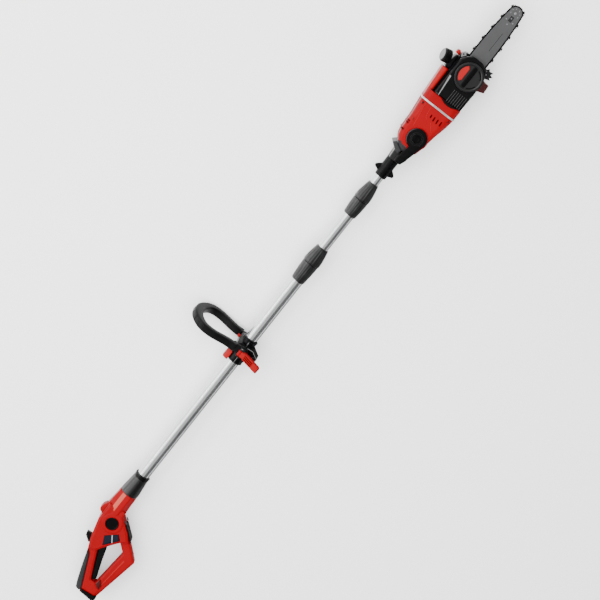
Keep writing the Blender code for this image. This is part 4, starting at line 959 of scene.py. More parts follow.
def build_front_handle():
    low, high = tool_box("clamp_liner")
    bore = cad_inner("clamp_liner")
    liner = [(low.x, bore), (low.x, LINER_R - 0.0006), (low.x + 0.0008, LINER_R), (high.x - 0.0008, LINER_R),
             (high.x, LINER_R - 0.0006), (high.x, bore)]

    def keyway(turn, along, size):
        return size - (0.0006 if size > LINER_R - 0.001 and abs(math.sin(turn * 4.0)) < 0.12 else 0.0)

    put(lathe("liner_ring", liner, "soft", steps=160, ripple=keyway), "clamp_slide", "soft", "clamp_liner")
    for side, node, reach in ((1.0, "clamp_half_upper", 0.027), (-1.0, "clamp_half_lower", 0.0125)):
        put(half_sleeve(f"{node}_sleeve", side), "front_clamp", "black", node)
        put(clamp_block(f"{node}_block", side, reach), "front_clamp", "black", node)
        for number, z in enumerate((-0.019, 0.019), 1):
            wing = pillow(f"{node}_rib_{number}", fillet([(-0.0335, side * 0.01), (-0.0335, side * 0.0225),
                                                          (0.0135, side * 0.0225), (0.0135, side * 0.01)],
                                                         0.002, 3), [(0.0, z * 0.62 - 0.001), (0.0,
                                                                                               z * 0.62
                                                                                               + 0.001)],
                          "black")
            keep = lathe("keep", [(-0.2, 0.0), (-0.2, LINER_R + 0.0004), (0.2, LINER_R + 0.0004), (0.2,
                                                                                                   0.0)],
                         None, steps=80)
            wing.data.transform(Matrix.Translation(Vector((0.472, 0.0, 0.0))))
            boolean(wing, [keep])
            put(wing, "front_clamp", "black", node)
    wedge = fillet([(-0.0167, -0.0032), (-0.0167, -0.02), (-0.006, -0.0454), (0.002, -0.0454),
                    (0.0172, -0.0225), (0.0172, -0.0032)], [0.0004, 0.003, 0.002, 0.002, 0.003, 0.0004], 4)
    body = pillow("clamp_wedge", wedge, [(0.0012, 0.0042), (0.0, 0.0054)] + roll(BLOCK_SIDE - 0.0004, 0.0016,
                                                                                 3), "black")
    body.data.transform(YAW)
    bore = lathe("bore", [(-0.1, 0.0), (-0.1, LINER_R + 0.0003), (0.1, LINER_R + 0.0003), (0.1, 0.0)], None,
                 (0.46, 0.0, 0.0), steps=80)
    put(boolean(body, [bore]), "front_clamp", "black", "clamp_half_lower")
    # Pale strokes along the wedge's front edges: painted edge highlights on the black plastic.
    for number, (start, end) in enumerate((((0.015, -0.006), (0.0165, -0.0225)), ((0.016, -0.0235), (0.003,
                                                                                                     -0.044))),
                                          1):
        seam = stroke(f"clamp_wedge_highlight_{number}", start, end, 0.0012, BLOCK_SIDE - 0.0006,
                      BLOCK_SIDE + 0.0001, "pale")
        put_yawed(seam, "front_clamp", "black", "clamp_half_lower")

    button = lathe("angle_button_cap", [(0.0262, 0.0), (0.0262, 0.0046), (0.0318, 0.0046), (0.0332, 0.0041),
                                        (0.0339, 0.0028), (0.034, 0.0)], "red_lit",
                   (0.0, 0.0, -0.0215), (0.0, 1.0, 0.0), steps=48)
    put_yawed(button, "angle_lock", "red", "angle_button")

    for side, node in ((1.0, "near_pivot"), (-1.0, "far_pivot")):
        start = BLOCK_SIDE - 0.0047
        length = 0.0147
        stub = lathe(f"{node}_stub", [(0.0, 0.0), (0.0, 0.0062), (0.0008, 0.0069), (length - 0.0008, 0.0069),
                                      (length, 0.0062), (length, 0.0034), (length - 0.0016, 0.003),
                                      (length - 0.0016, 0.0)], "dark_steel", (0.0, 0.0, side * start),
                     (0.0, 0.0, side), steps=48)
        put_yawed(stub, "front_clamp", "dark_steel", node)
    base = BLOCK_SIDE + FOOT_THICK + 0.0011
    put_yawed(cuboid("near_pivot_plate", (-0.0136, -0.0044, base), (0.0136, 0.0044, base + 0.0011),
                     "dark_steel", 0.0003), "front_clamp", "dark_steel", "near_pivot")
    for number, x in enumerate((-0.0138, 0.0108), 1):
        ear = cuboid(f"near_pivot_ear_{number}", (x, -0.0044, base), (x + 0.003, 0.0099,
                                                                      LEVER_PIN.z + 0.0049), "dark_steel",
                     0.0008)
        put_yawed(ear, "front_clamp", "dark_steel", "near_pivot")
    pin = lathe("lever_pin_rod", [(0.0, 0.0), (0.0, 0.0018), (0.0005, 0.0022), (0.0285, 0.0022), (0.029,
                                                                                                  0.0018),
                                  (0.029, 0.0)], "steel", (-0.0145, LEVER_PIN.y, LEVER_PIN.z), steps=32)
    put_yawed(pin, "front_clamp", "steel", "lever_pin")
    bolt = [(0.0007, 0.0), (0.0007, 0.0044), (0.0013, 0.005), (0.0037, 0.005), (0.0037, 0.003),
            (BLOCK_SIDE + 0.0036, 0.003), (BLOCK_SIDE + 0.004, 0.0025), (BLOCK_SIDE + 0.004, 0.0)]
    shank = lathe("clamp_bolt_shank", bolt, "dark_steel", (0.0, -0.036, 0.0), UP, steps=48)
    put_yawed(shank, "front_clamp", "dark_steel", "clamp_bolt")
    nut = pillow("clamp_bolt_nut", arc((0.0, -0.036), 0.0058, 0.0, 300.0, 5),
                 [(0.0004, BLOCK_SIDE + 0.0001), (0.0, BLOCK_SIDE + 0.0005), (0.0, BLOCK_SIDE + 0.003),
                  (0.0004, BLOCK_SIDE + 0.0034)], "dark_steel")
    put_yawed(nut, "front_clamp", "dark_steel", "clamp_bolt")

    # Pale lines along the sleeve at the split between the halves: painted highlights on the black sleeve.
    for number, z in enumerate((-LINER_R - 0.0018, LINER_R + 0.0018), 1):
        bead = cuboid(f"clamp_highlight_line_{number}", (0.4262, -0.0005, z - 0.0012), (0.4978, 0.0005, z + 0.0014),
                      "pale", 0.0002)
        put(bead, "front_clamp", "black", "clamp_half_lower")
    build_lever()
    build_loop()

    flap = [(0.0277, -0.0061), (0.0351, -0.0061), (0.0351, 0.009), (0.029, 0.0164), (0.0225, 0.0179),
            (0.0188, 0.0179), (0.0215, 0.015), (0.0262, 0.008)]
    rounded = fillet(flap, [0.0006, 0.002, 0.004, 0.003, 0.001, 0.0008, 0.003, 0.006], 4)
    rows = [(0.4201, inset(rounded, 0.0012)), (0.4209, inset(rounded, 0.0004)), (0.4222, list(rounded)),
            (0.4458, list(rounded)), (0.4471, inset(rounded, 0.0004)), (0.4479, inset(rounded, 0.0012))]
    put(loft("slide_tab_flap", rows, "red_lit"), "slide_lock", "red", "slide_lock_tab")
    tab = [(-0.0245, 0.0268), (-0.018, 0.0262), (-0.0165, 0.03), (-0.0195, 0.034), (-0.03, 0.0345),
           (-0.036, 0.0345), (-0.036, 0.0262)]
    rim = roll(0.0075, 0.0016, 4)
    body = pillow("slide_tab_body", fillet(tab, [0.001, 0.002, 0.003, 0.003, 0.004, 0.001, 0.001], 4),
                  both_faces(rim), "red")
    put_yawed(body, "slide_lock", "red", "slide_lock_tab")
    for number in range(3):
        x = 0.4235 + 0.0042 * number
        put(cuboid(f"slide_tab_ridge_{number + 1}", (x, 0.0344, -0.004), (x + 0.0014, 0.0356, 0.0078), "red",
                   0.0005), "slide_lock", "red", "slide_lock_tab")
    for number, z in enumerate((-0.0112, 0.0082), 1):
        outline = [(-0.0165, 0.02), (-0.025, 0.02), (-0.025, 0.0325), (-0.018, 0.0335), (-0.012, 0.027),
                   (-0.012, 0.02)]
        ear = pillow(f"slide_tab_ear_{number}", fillet(outline, 0.0012, 3), [(0.0003, z), (0.0, z + 0.0003),
                                                                             (0.0, z + 0.0027), (0.0003,
                                                                                                 z + 0.003)],
                     "black")
        put_yawed(ear, "front_clamp", "black", "clamp_half_upper")


def put_on_pin(obj, slot):
    """Place a piece of the lever that was made round its pin."""
    obj.data.transform(Matrix.Translation(LEVER_PIN))
    put_yawed(obj, "lever", slot, "clamp_lever")


def build_lever():
    slant = math.tan(math.radians(13.0))
    top, reach = -0.011, 0.07

    def leaning(points):
        return [(x + (y - top) * slant, y) for x, y in points]

    blade = leaning([(-0.0104, top), (0.0104, top), (0.0112, -0.45 * reach), (0.0112, -reach + 0.004),
                     (0.0088, -reach), (-0.0092, -reach), (-0.0112, -reach + 0.003), (-0.0112,
                                                                                      -0.45 * reach)])
    body = pillow("lever_blade", fillet(blade, [0.002, 0.002, 0.01, 0.002, 0.002, 0.002, 0.002, 0.01], 4),
                  [(0.0012, -0.0051), (0.0, -0.004), (0.0, 0.0016), (0.0005, 0.0028), (0.0012, 0.0032)],
                  "red")
    # The grooves between the rails are filled with near-black: painted shade in the recesses.
    for number, offset in enumerate((-0.0058, 0.0, 0.0058), 1):
        ends = leaning([(offset, -0.017), (offset, -0.043)])
        groove = stroke(f"lever_groove_{number}", ends[0], ends[1], 0.0028, 0.0024, 0.0036, "void")
        put_on_pin(groove, "maroon")
    for number, offset in enumerate((-0.0087, -0.0029, 0.0029, 0.0087), 1):
        ends = leaning([(offset, -0.015), (offset, -0.045)])
        rail = stroke(f"lever_rail_{number}", ends[0], ends[1], 0.0026, 0.0024, 0.0056, "red_lit", 0.0008)
        put_on_pin(rail, "red")
    put_on_pin(body, "red")
    pad = leaning([(-0.0104, -0.047), (0.0104, -0.047), (0.0104, -0.065), (-0.0104, -0.067)])
    cushion = pillow("lever_pad", fillet(pad, 0.003, 5), [(0.0, 0.0028), (0.0004, 0.0048), (0.0016, 0.0058)],
                     "red_lit")
    put_on_pin(cushion, "red")
    knuckle = lathe("lever_knuckle", [(-0.0092, 0.0026), (-0.0092, 0.0052), (-0.0086, 0.0058), (0.0086,
                                                                                                0.0058),
                                      (0.0092, 0.0052), (0.0092, 0.0026)], "red", LEVER_PIN, steps=48)
    put_yawed(knuckle, "lever", "red", "clamp_lever")
    for number, x in enumerate((-0.009, 0.0), 1):
        web = cuboid(f"lever_web_{number}", (x, -0.017, -0.005), (x + 0.009, -0.0034, 0.0056), "red_lit",
                     0.001)
        put_on_pin(web, "red")


def build_loop():
    half = [(0.0392, 0.0255), (0.0385, 0.042), (0.041, 0.06), (0.0461, 0.08), (0.0502, 0.1),
            (0.0504, 0.12), (0.0458, 0.1378), (0.0342, 0.1532), (0.018, 0.1645)]
    near = [Vector((0.0, y, z)) for z, y in half]
    far = [Vector((0.0, y, -z)) for z, y in reversed(half)]
    route = curve_through(near + [Vector((0.0, 0.1677, 0.0))] + far, 7)
    strap = sweep("loop_strap", route, loop_section, "loop")
    put_yawed(strap, "loop", "black", "loop_handle")
    for side in (1.0, -1.0):
        inner = BLOCK_SIDE + 0.0003
        foot = [(0.0112, 0.033), (-0.0112, 0.033)] + arc((0.0, 0.0), 0.0158, 165.0, 375.0, 28)
        levels = [(0.0006, inner), (0.0, inner + 0.0006), (0.0, inner + FOOT_THICK - 0.002),
                  (0.0006, inner + FOOT_THICK - 0.0006), (0.0018, inner + FOOT_THICK)]
        plate = pillow(f"loop_foot_{'near' if side > 0 else 'far'}", foot,
                       [(amount, side * z) for amount, z in levels], "loop")
        hole = lathe("hole", [(0.0, 0.0), (0.0, 0.0073), (0.06, 0.0073), (0.06, 0.0)], None, (0.0, 0.0,
                                                                                              side * 0.02),
                     (0.0, 0.0, side), steps=48)
        boolean(plate, [hole])
        put_yawed(plate, "loop", "black", "loop_handle")
        ring = lathe(f"loop_boss_{'near' if side > 0 else 'far'}",
                     [(0.0, 0.0078), (0.0, 0.011), (0.0008, 0.0104), (0.0008, 0.0082)], "loop",
                     (0.0, 0.0, side * (inner + FOOT_THICK - 0.0002)), (0.0, 0.0, side), steps=64)
        put_yawed(ring, "loop", "black", "loop_handle")
    for number in range(9):
        index = int(len(route) * (0.3 + 0.05 * number))
        place = route[index]
        along = (route[index + 1] - route[index - 1]).normalized()
        outward = along.cross(Vector((1.0, 0.0, 0.0))).normalized()
        if outward.dot(place - Vector((0.0, 0.1, 0.0))) < 0.0:
            outward = -outward
        rib = cuboid(f"loop_pad_rib_{number + 1}", (-0.0074, -0.0007, -0.0006), (0.0074, 0.0007, 0.0004),
                     "loop", 0.0004)
        turn = Matrix((Vector((1.0, 0.0, 0.0)), along, outward)).transposed().to_4x4()
        rib.data.transform(Matrix.Translation(place + outward * 0.0084) @ turn)
        put_yawed(rib, "loop", "black", "loop_handle")


# ---------------------------------------------------------------- holder and tilt joint
EAR_INNER = 0.0383
EAR_OUTER = 0.0455
HUB = Vector((1.22, -0.011, 0.0))
HUB_R = 0.0285
BULGE_R = 0.05


def placed(profile, centre, look, name, axis=UP, steps=96, ripple=None):
    return lathe(name, profile, look, centre, axis, steps=steps, ripple=ripple)


def build_holder():
    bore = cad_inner("upper_tube") + 0.0018
    rear = tool_box("pole_holder")[0].x
    profile = [(rear, bore), (rear, 0.0158), (rear + 0.0009, 0.0166), (rear + 0.003, 0.0168), (1.085, 0.0174),
               (1.1, 0.0176), (1.101, 0.017), (1.1022, 0.017), (1.1032, 0.0177), (1.16, 0.0184),
               (1.16, 0.008), (1.119, 0.008), (1.119, bore)]
    put(lathe("holder_socket", profile, "black", steps=96), "upper_pole", "black", "pole_holder")
    wing = [(1.0885, 0.0158), (1.0935, 0.0296), (1.0995, 0.0306), (1.106, 0.0238), (1.1118, 0.0158),
            (1.1118, -0.0158), (1.106, -0.0238), (1.0995, -0.0306), (1.0935, -0.0296), (1.0885, -0.0158)]
    rim = roll(0.0049, 0.0018, 4)
    lugs = pillow("holder_wings", fillet(wing, 0.0022, 5), both_faces(rim), "black")
    room = lathe("room", [(1.05, 0.0), (1.05, 0.015), (1.2, 0.015), (1.2, 0.0)], None, steps=64)
    put(boolean(lugs, [room]), "upper_pole", "black", "pole_holder")
    for number in range(8):
        turn = math.radians(45.0 * number + 22.5)
        y, z = 0.0172 * math.cos(turn), 0.0172 * math.sin(turn)
        rib = sweep(f"holder_flute_{number + 1}", [Vector((1.112, y * 1.015, z * 1.015)),
                                                   Vector((1.124, y * 1.022, z * 1.022)),
                                                   Vector((1.14, y * 1.035, z * 1.035))],
                    lambda t: arc((0.0, 0.0), 0.0006, 0.0, 315.0, 7), "black",
                    Vector((0.0, -z, y)).normalized())
        put(rib, "upper_pole", "black", "pole_holder")

    shoulder_outline = [(1.136, -0.0105), (1.1364, 0.0159), (1.1639, 0.0177), (1.165, -0.0105)]
    rim = roll(0.03, 0.003, 4)
    shoulder = pillow("holder_shoulder", fillet(shoulder_outline, [0.002, 0.004, 0.002, 0.002], 4),
                      both_faces(rim), "black_sheen")
    neck_way = lathe("cable_way", [(1.1, 0.0), (1.1, 0.008), (1.19, 0.008), (1.19, 0.0)], None, steps=48)
    put(boolean(shoulder, [neck_way]), "upper_pole", "black", "pole_holder")
    root = [(1.138, -0.018), (1.138, 0.0018), (1.158, 0.0018), (1.1658, -0.005), (1.1658, -0.015),
            (1.164, -0.0243), (1.156, -0.0253)]
    rim = roll(EAR_OUTER - 0.0002, 0.0042, 5)
    yoke = pillow("holder_yoke", fillet(root, [0.003, 0.005, 0.004, 0.003, 0.001, 0.002, 0.004], 4),
                  both_faces(rim), "black")
    swing = placed([(-EAR_INNER, 0.0), (-EAR_INNER, BULGE_R + 0.0016), (EAR_INNER, BULGE_R + 0.0016),
                    (EAR_INNER, 0.0)], HUB, None, "swing_room")
    cable_way = lathe("cable_way", [(1.1, 0.0), (1.1, 0.008), (1.19, 0.008), (1.19, 0.0)], None, steps=48)
    put(boolean(yoke, [swing, cable_way]), "upper_pole", "black", "pole_holder")
    for side in (1.0, -1.0):
        hub_edge = arc((HUB.x, HUB.y), HUB_R - 0.0001, 246.0, 530.0, 72)
        outline = [(1.158, -0.0012), (1.158, -0.0244)] + hub_edge
        levels = [(0.0005, EAR_INNER + 0.0002), (0.0, EAR_INNER + 0.0008), (0.0, EAR_OUTER - 0.0022),
                  (0.0004, EAR_OUTER - 0.001), (0.0012, EAR_OUTER - 0.0003), (0.0022, EAR_OUTER)]
        ear = pillow(f"holder_ear_{'right' if side > 0 else 'left'}", outline,
                     [(amount, side * z) for amount, z in levels], "black")
        hole = placed([(0.0, 0.0), (0.0, 0.0063), (0.1, 0.0063), (0.1, 0.0)], (HUB.x, HUB.y, -0.05), None,
                      "hole")
        for number, radius in enumerate((0.014, 0.0175), 1):
            ring = placed([(-0.0008, radius - 0.0003), (0.0001, radius - 0.0003), (0.0003, radius),
                           (0.0001, radius + 0.0003), (-0.0008, radius + 0.0003)],
                          (HUB.x, HUB.y, side * EAR_OUTER), "charcoal",
                          f"holder_ring_{'right' if side > 0 else 'left'}_{number}", axis=(0.0, 0.0, side))
            put(ring, "upper_pole", "black", "pole_holder")
        # Grey arc on the upper part of the hub disc: a painted highlight.
        rim_route = [Vector((x, y, side * (EAR_OUTER - 0.0009)))
                     for x, y in arc((HUB.x, HUB.y), HUB_R - 0.0016, 25.0, 150.0, 40)]
        crescent = sweep(f"holder_highlight_arc_{'right' if side > 0 else 'left'}", rim_route,
                         lambda t: squircle(-0.0013 * math.sin(math.pi * (0.1 + 0.8 * t)),
                                            0.0011 * math.sin(math.pi * (0.1 + 0.8 * t)), -0.0006, 0.0008,
                                            0.0004, 3), "grey", Vector((0.0, 0.0, side)))
        put(crescent, "upper_pole", "black", "pole_holder")
        seat_low = 0.0412 if side > 0 else EAR_OUTER + 0.01
        seat = placed([(0.0, 0.0), (0.0, 0.0123), (0.02, 0.0123), (0.02, 0.0)], (HUB.x, HUB.y,
                                                                                 side * seat_low), None,
                      "seat", axis=(0.0, 0.0, side))
        boolean(ear, [seat, hole])
        put(ear, "upper_pole", "black", "pole_holder")

    outer = arc((HUB.x, HUB.y), BULGE_R + 0.0135, 133.5, 166.0, 24)
    inner = arc((HUB.x, HUB.y), BULGE_R + 0.0004, 166.0, 133.5, 24)
    rim = roll(0.0379, 0.004, 5)
    cover = pillow("tilt_cover_shell", outer + inner, [(amount * 0.5, -z) for amount, z in reversed(rim)]
                   + [(amount * 0.5, z) for amount, z in rim], "knuckle")
    put(cover, "upper_pole", "grey", "tilt_cover")

    shaft = [(-EAR_OUTER - 0.0043, 0.0), (-EAR_OUTER - 0.0035, 0.0046), (-EAR_OUTER - 0.0043, 0.0052),
             (-EAR_OUTER - 0.0045, 0.0086), (-EAR_OUTER - 0.0038, 0.0102), (-EAR_OUTER - 0.0004, 0.0109),
             (-EAR_OUTER - 0.0004, 0.0059), (0.0406, 0.0059), (0.0406, 0.0)]

    def hexagon(turn, along, size):
        return size * (1.0
                       + 0.07 * math.cos(6.0 * turn)) if 0.004 < size < 0.0055 and along < -0.04 else size

    put(placed(shaft, HUB, "steel", "tilt_shaft_pin", ripple=hexagon), "upper_pole", "steel", "tilt_shaft")
    low = tool_box("tilt_button")[0].z
    button = [(0.0, 0.0), (0.0, 0.0116), (0.0005, 0.012), (0.0034, 0.012), (0.004, 0.0114), (0.004, 0.0092),
              (0.0036, 0.0088), (0.0036, 0.0084), (0.0046, 0.0082), (0.0051, 0.0076), (0.0052, 0.006),
              (0.0046, 0.0052), (0.0044, 0.0)]
    put(placed(button, (HUB.x, HUB.y, low), "black_gloss", "tilt_button_disc", steps=96), "tilt_lock",
        "black", "tilt_button")


# ---------------------------------------------------------------- head housings
RING_X = 1.314
RING_THICK = 0.005
SHELL = 0.0026
HOUSING_ROWS = [(1.175, -0.027, 0.009, 0.03, 0.01), (1.179, -0.0312, 0.016, 0.0335, 0.011),
                (1.185, -0.036, 0.0225, 0.036, 0.012), (1.2, -0.04, 0.034, 0.0376, 0.014),
                (1.22, -0.043, 0.0385, 0.0376, 0.014), (1.246, -0.047, 0.0395, 0.0376, 0.014),
                (1.254, -0.0484, 0.04, 0.0384, 0.015), (1.26, -0.0498, 0.0405, 0.0403, 0.017),
                (1.266, -0.051, 0.041, 0.042, 0.018), (1.278, -0.0536, 0.0424, 0.0441, 0.02),
                (1.29, -0.056, 0.0438, 0.0455, 0.022), (RING_X - 0.0012, -0.0592, 0.0466, 0.0468, 0.024),
                (RING_X - 0.0004, -0.0586, 0.046, 0.0462, 0.0235)]


def half_housing(side, shrink=0.0, rows=HOUSING_ROWS):
    """Closed half sections, cut off flat at the seam between the two shells."""
    sections = []
    for x, low, high, depth, corner in rows:
        ring = squircle(low + shrink, high - shrink, -depth + shrink, depth - shrink, corner - 0.5 * shrink,
                        9)
        sections.append((x, [(y, side * max(z, SEAM)) for y, z in ring]))
    return sections


def housing_depth(x):
    """Half depth of the housing's side at a station along the tool."""
    for first, second in zip(HOUSING_ROWS, HOUSING_ROWS[1:]):
        if first[0] <= x <= second[0]:
            return first[3] + (second[3] - first[3]) * (x - first[0]) / (second[0] - first[0])
    return HOUSING_ROWS[-1][3]


def build_housing():
    for side, word in ((1.0, "right"), (-1.0, "left")):
        node = f"motor_housing_{word}"
        shell = loft(f"{node}_shell", half_housing(side), "red", angle=28.0)
        hollow_rows = [row for row in HOUSING_ROWS if row[0] > 1.21]
        hollow_rows[-1] = (RING_X + 0.01, *hollow_rows[-1][1:])
        hollow = loft("hollow", half_housing(side, SHELL, hollow_rows), None)
        hollow.data.transform(Matrix.Translation(Vector((0.0, 0.0, -side * 2.0 * SEAM))))
        tools = [hollow]
        tools.append(placed([(-0.1, 0.0), (-0.1, 0.0063), (0.1, 0.0063), (0.1, 0.0)], HUB, None, "hole"))
        boolean(shell, tools)
        knuckle = shell.copy()
        knuckle.data = shell.data.copy()
        bpy.context.scene.collection.objects.link(knuckle)
        knuckle.name = f"{node}_knuckle"
        for half, operation in ((shell, "DIFFERENCE"), (knuckle, "INTERSECT")):
            zone = pillow("rear_zone", [(1.15, -0.003), (1.1866, -0.003), (1.1866, 0.06), (1.15, 0.06)],
                          [(0.0, -0.0601), (0.0, 0.0601)], None)
            boolean(half, [zone], operation)
        knuckle.data.materials.clear()
        knuckle.data.materials.append(LOOKS["knuckle"])
        put(knuckle, "head", "red", node)
        put(shell, "head", "red", node)
        sector = arc((HUB.x, HUB.y), BULGE_R - 0.0003, 133.0, 172.0, 24) + arc((HUB.x, HUB.y), 0.0385, 172.0,
                                                                               133.0, 24)
        bulge = pillow(f"{node}_bulge", sector, [(0.0, side * (SEAM + 0.0002)), (0.0, side * 0.0328),
                                                 (0.0004, side * 0.0345), (0.0014, side * 0.0357),
                                                 (0.003, side * 0.0364)], "knuckle")
        put(bulge, "head", "red", node)
        # Near-black strokes for the lower vent slits: painted shade of the openings.
        for number in range(4):
            y = -0.0035 - 0.0108 * number
            start = 1.2868 if number == 0 else 1.284
            depth = housing_depth(1.29)
            ends = sorted((side * (depth - 0.003), side * (depth + 0.0003)))
            put(stroke(f"{node}_low_slit_{number + 1}", (start, y), (1.296, y + 0.0012), 0.003, *ends,
                       "void"), "head", "red", node)
        # Thin raised lines on the housing side in the lighter red: painted highlight lines along the facet
        # edges.
        panel = [((1.308, 0.0125), (1.283, 0.0078)), ((1.283, 0.0078), (1.276, 0.001)),
                 ((1.308, 0.03), (1.242, 0.018)), ((1.276, -0.013), (1.256, -0.03))]
        for number, (start, end) in enumerate(panel, 1):
            depth = min(housing_depth(start[0]), housing_depth(end[0]))
            line = sweep(f"{node}_highlight_ridge_{number}",
                         [Vector((x, y, side * (housing_depth(x) - 0.0001)))
                          for x, y in (Vector(start).lerp(Vector(end), step / 6.0) for step in range(7))],
                         lambda t: squircle(-0.0006, 0.0006, -0.0004, 0.0004, 0.0003, 2), "red_lit",
                         Vector((0.0, 1.0, 0.0)))
            put(line, "head", "red", node)
        # Near-black strips for the upper vent slits: painted shade of the openings.
        for number, x in enumerate((1.219, 1.24, 1.2462), 1):
            route = [Vector((x, 0.0253 + 0.014 * math.sin(turn), side * (0.0236 + 0.014 * math.cos(turn))))
                     for turn in (math.radians(a) for a in (30.0, 45.0, 60.0, 75.0, 88.0))]
            slit = sweep(f"{node}_top_slit_{number}", route, lambda t: squircle(-0.0017, 0.0017, -0.0006,
                                                                                0.0006, 0.0004, 2), "void",
                         Vector((1.0, 0.0, 0.0)))
            put(slit, "head", "red", node)
        hub = [(0.0, HUB_R + 0.0004), (0.0, HUB_R + 0.0034), (0.0006, HUB_R + 0.003), (0.0008,
                                                                                       HUB_R + 0.001),
               (0.0008, HUB_R + 0.0006)]
        ring = placed(hub, (HUB.x, HUB.y, side * 0.0373), "red", f"{node}_hub_ring", axis=(0.0, 0.0, side))
        put(ring, "head", "red", node)
        for number, (x, y) in enumerate(((1.258, 0.0285), (1.256, -0.036), (1.306, 0.036), (1.306, -0.048))):
            depth = 0.0392 if x < 1.28 else 0.0452
            boss = [(-0.004, 0.0), (-0.004, 0.0041), (0.0, 0.0041), (0.0006, 0.0037), (0.0006, 0.003),
                    (-0.0012, 0.0028), (-0.0012, 0.0)]
            put(placed(boss, (x, y, side * (depth - (0.0016 if abs(y) > 0.0355 else 0.0004))), "red",
                       f"{node}_boss_{number + 1}", axis=(0.0, 0.0, side), steps=40), "head", "red", node)
            screw = torx_screw(f"{node}_screw_{number + 1}", (x, y, side * (depth - (
                0.003 if abs(y) > 0.0355 else 0.0018))), 0.0026, (0.0, 0.0, side))
            put(screw, "head", "dark_steel", node)
    spine = [Vector((x, high + 0.0001, 0.0)) for x, low, high, depth, corner in HOUSING_ROWS[2:-1]]
    for side, word in ((1.0, "right"), (-1.0, "left")):
        edge = sweep(f"motor_housing_{word}_seam_bead", curve_through(spine, 5),
                     lambda t: [(side * z, y) for y, z in squircle(-0.0007, 0.0005, SEAM, 0.0016, 0.0003, 2)],
                     "red", Vector(UP))
        put(edge, "head", "red", f"motor_housing_{word}")


def ring_section(grow, steps=12):
    return squircle(-0.0595 - grow, 0.0478 + grow, -0.047 - grow, 0.047 + grow, 0.024 + grow, steps)


def build_front_housing():
    rear, front = RING_X, RING_X + RING_THICK
    ring = loft("trim_ring_band", [(rear, ring_section(-0.0004)), (rear + 0.0006, ring_section(0.0003)),
                                   (rear + 0.0018, ring_section(0.0006)), (front - 0.0018,
                                                                           ring_section(0.0006)),
                                   (front - 0.0006, ring_section(0.0003)), (front, ring_section(-0.0004))],
                "silver")
    bore = loft("bore", [(rear - 0.01, ring_section(-SHELL)), (front + 0.01, ring_section(-SHELL))], None)
    put(boolean(ring, [bore]), "head", "light", "trim_ring")
    shade = stroke("trim_ring_shade", (rear + 0.0025, 0.008), (rear + 0.0025, -0.036), 0.0036, 0.047, 0.0478,
                   "warm_grey", 0.0002)
    put(shade, "head", "light", "trim_ring")

    start = front + 0.0003
    collar = loft("front_housing_collar", [(start, ring_section(-0.0008)), (start + 0.0008, ring_section(0.0)),
                                           (1.344, ring_section(0.0)), (1.345, ring_section(-0.0006))], "red")
    bore = loft("bore", [(rear - 0.01, ring_section(-SHELL)), (1.36, ring_section(-SHELL))], None)
    boolean(collar, [bore])
    put(collar, "head", "red", "front_housing")
    rows = [(start + 0.004, 0.0476, 0.03, 0.0062), (1.345, 0.0494, 0.03, 0.0068), (1.38, 0.052, 0.03,
                                                                                   0.0082), (1.408, 0.0541,
                                                                                             0.0298, 0.0088),
            (1.412, 0.0538, 0.029, 0.0086), (1.413, 0.053, 0.0282, 0.008)]
    # The strip on the top side is in the lighter red: painted light where it faces the key.
    sections = [(x, squircle(0.0352, high, -depth, depth, corner, 9)) for x, high, depth, corner in rows]
    put(loft("front_housing_strip", sections, "red_lit", angle=28.0), "head", "red", "front_housing")
    for side in (1.0, -1.0):
        rib = sweep(f"front_housing_rib_{'right' if side > 0 else 'left'}",
                    curve_through([(1.324, 0.0455, side * 0.0268), (1.35, 0.0478, side * 0.0272),
                                   (1.385, 0.05, side * 0.0272), (1.408, 0.0512, side * 0.0268)], 6),
                    lambda t: arc((0.0, 0.0), 0.0012, 0.0, 315.0, 7), "red_lit", Vector(UP))
        put(rib, "head", "red", "front_housing")


CASE_REAR = 1.3454
COVER = [(CASE_REAR, -0.056), (1.408, -0.0575), (1.45, -0.054), (1.47, -0.045), (1.4805, -0.025),
         (1.4805, 0.006), (1.47, 0.02), (1.456, 0.03), (CASE_REAR, 0.03)]
CASE = [(CASE_REAR, -0.056), (1.408, -0.0575), (1.45, -0.05), (1.478, -0.033), (1.478, 0.02),
        (1.466, 0.034), (CASE_REAR, 0.034)]
KNOB = Vector((1.431, -0.018, 0.0438))
KNOB_R = 0.04
DRIVE = Vector((1.4, -0.0115, 0.0))
STUD_X = 1.441


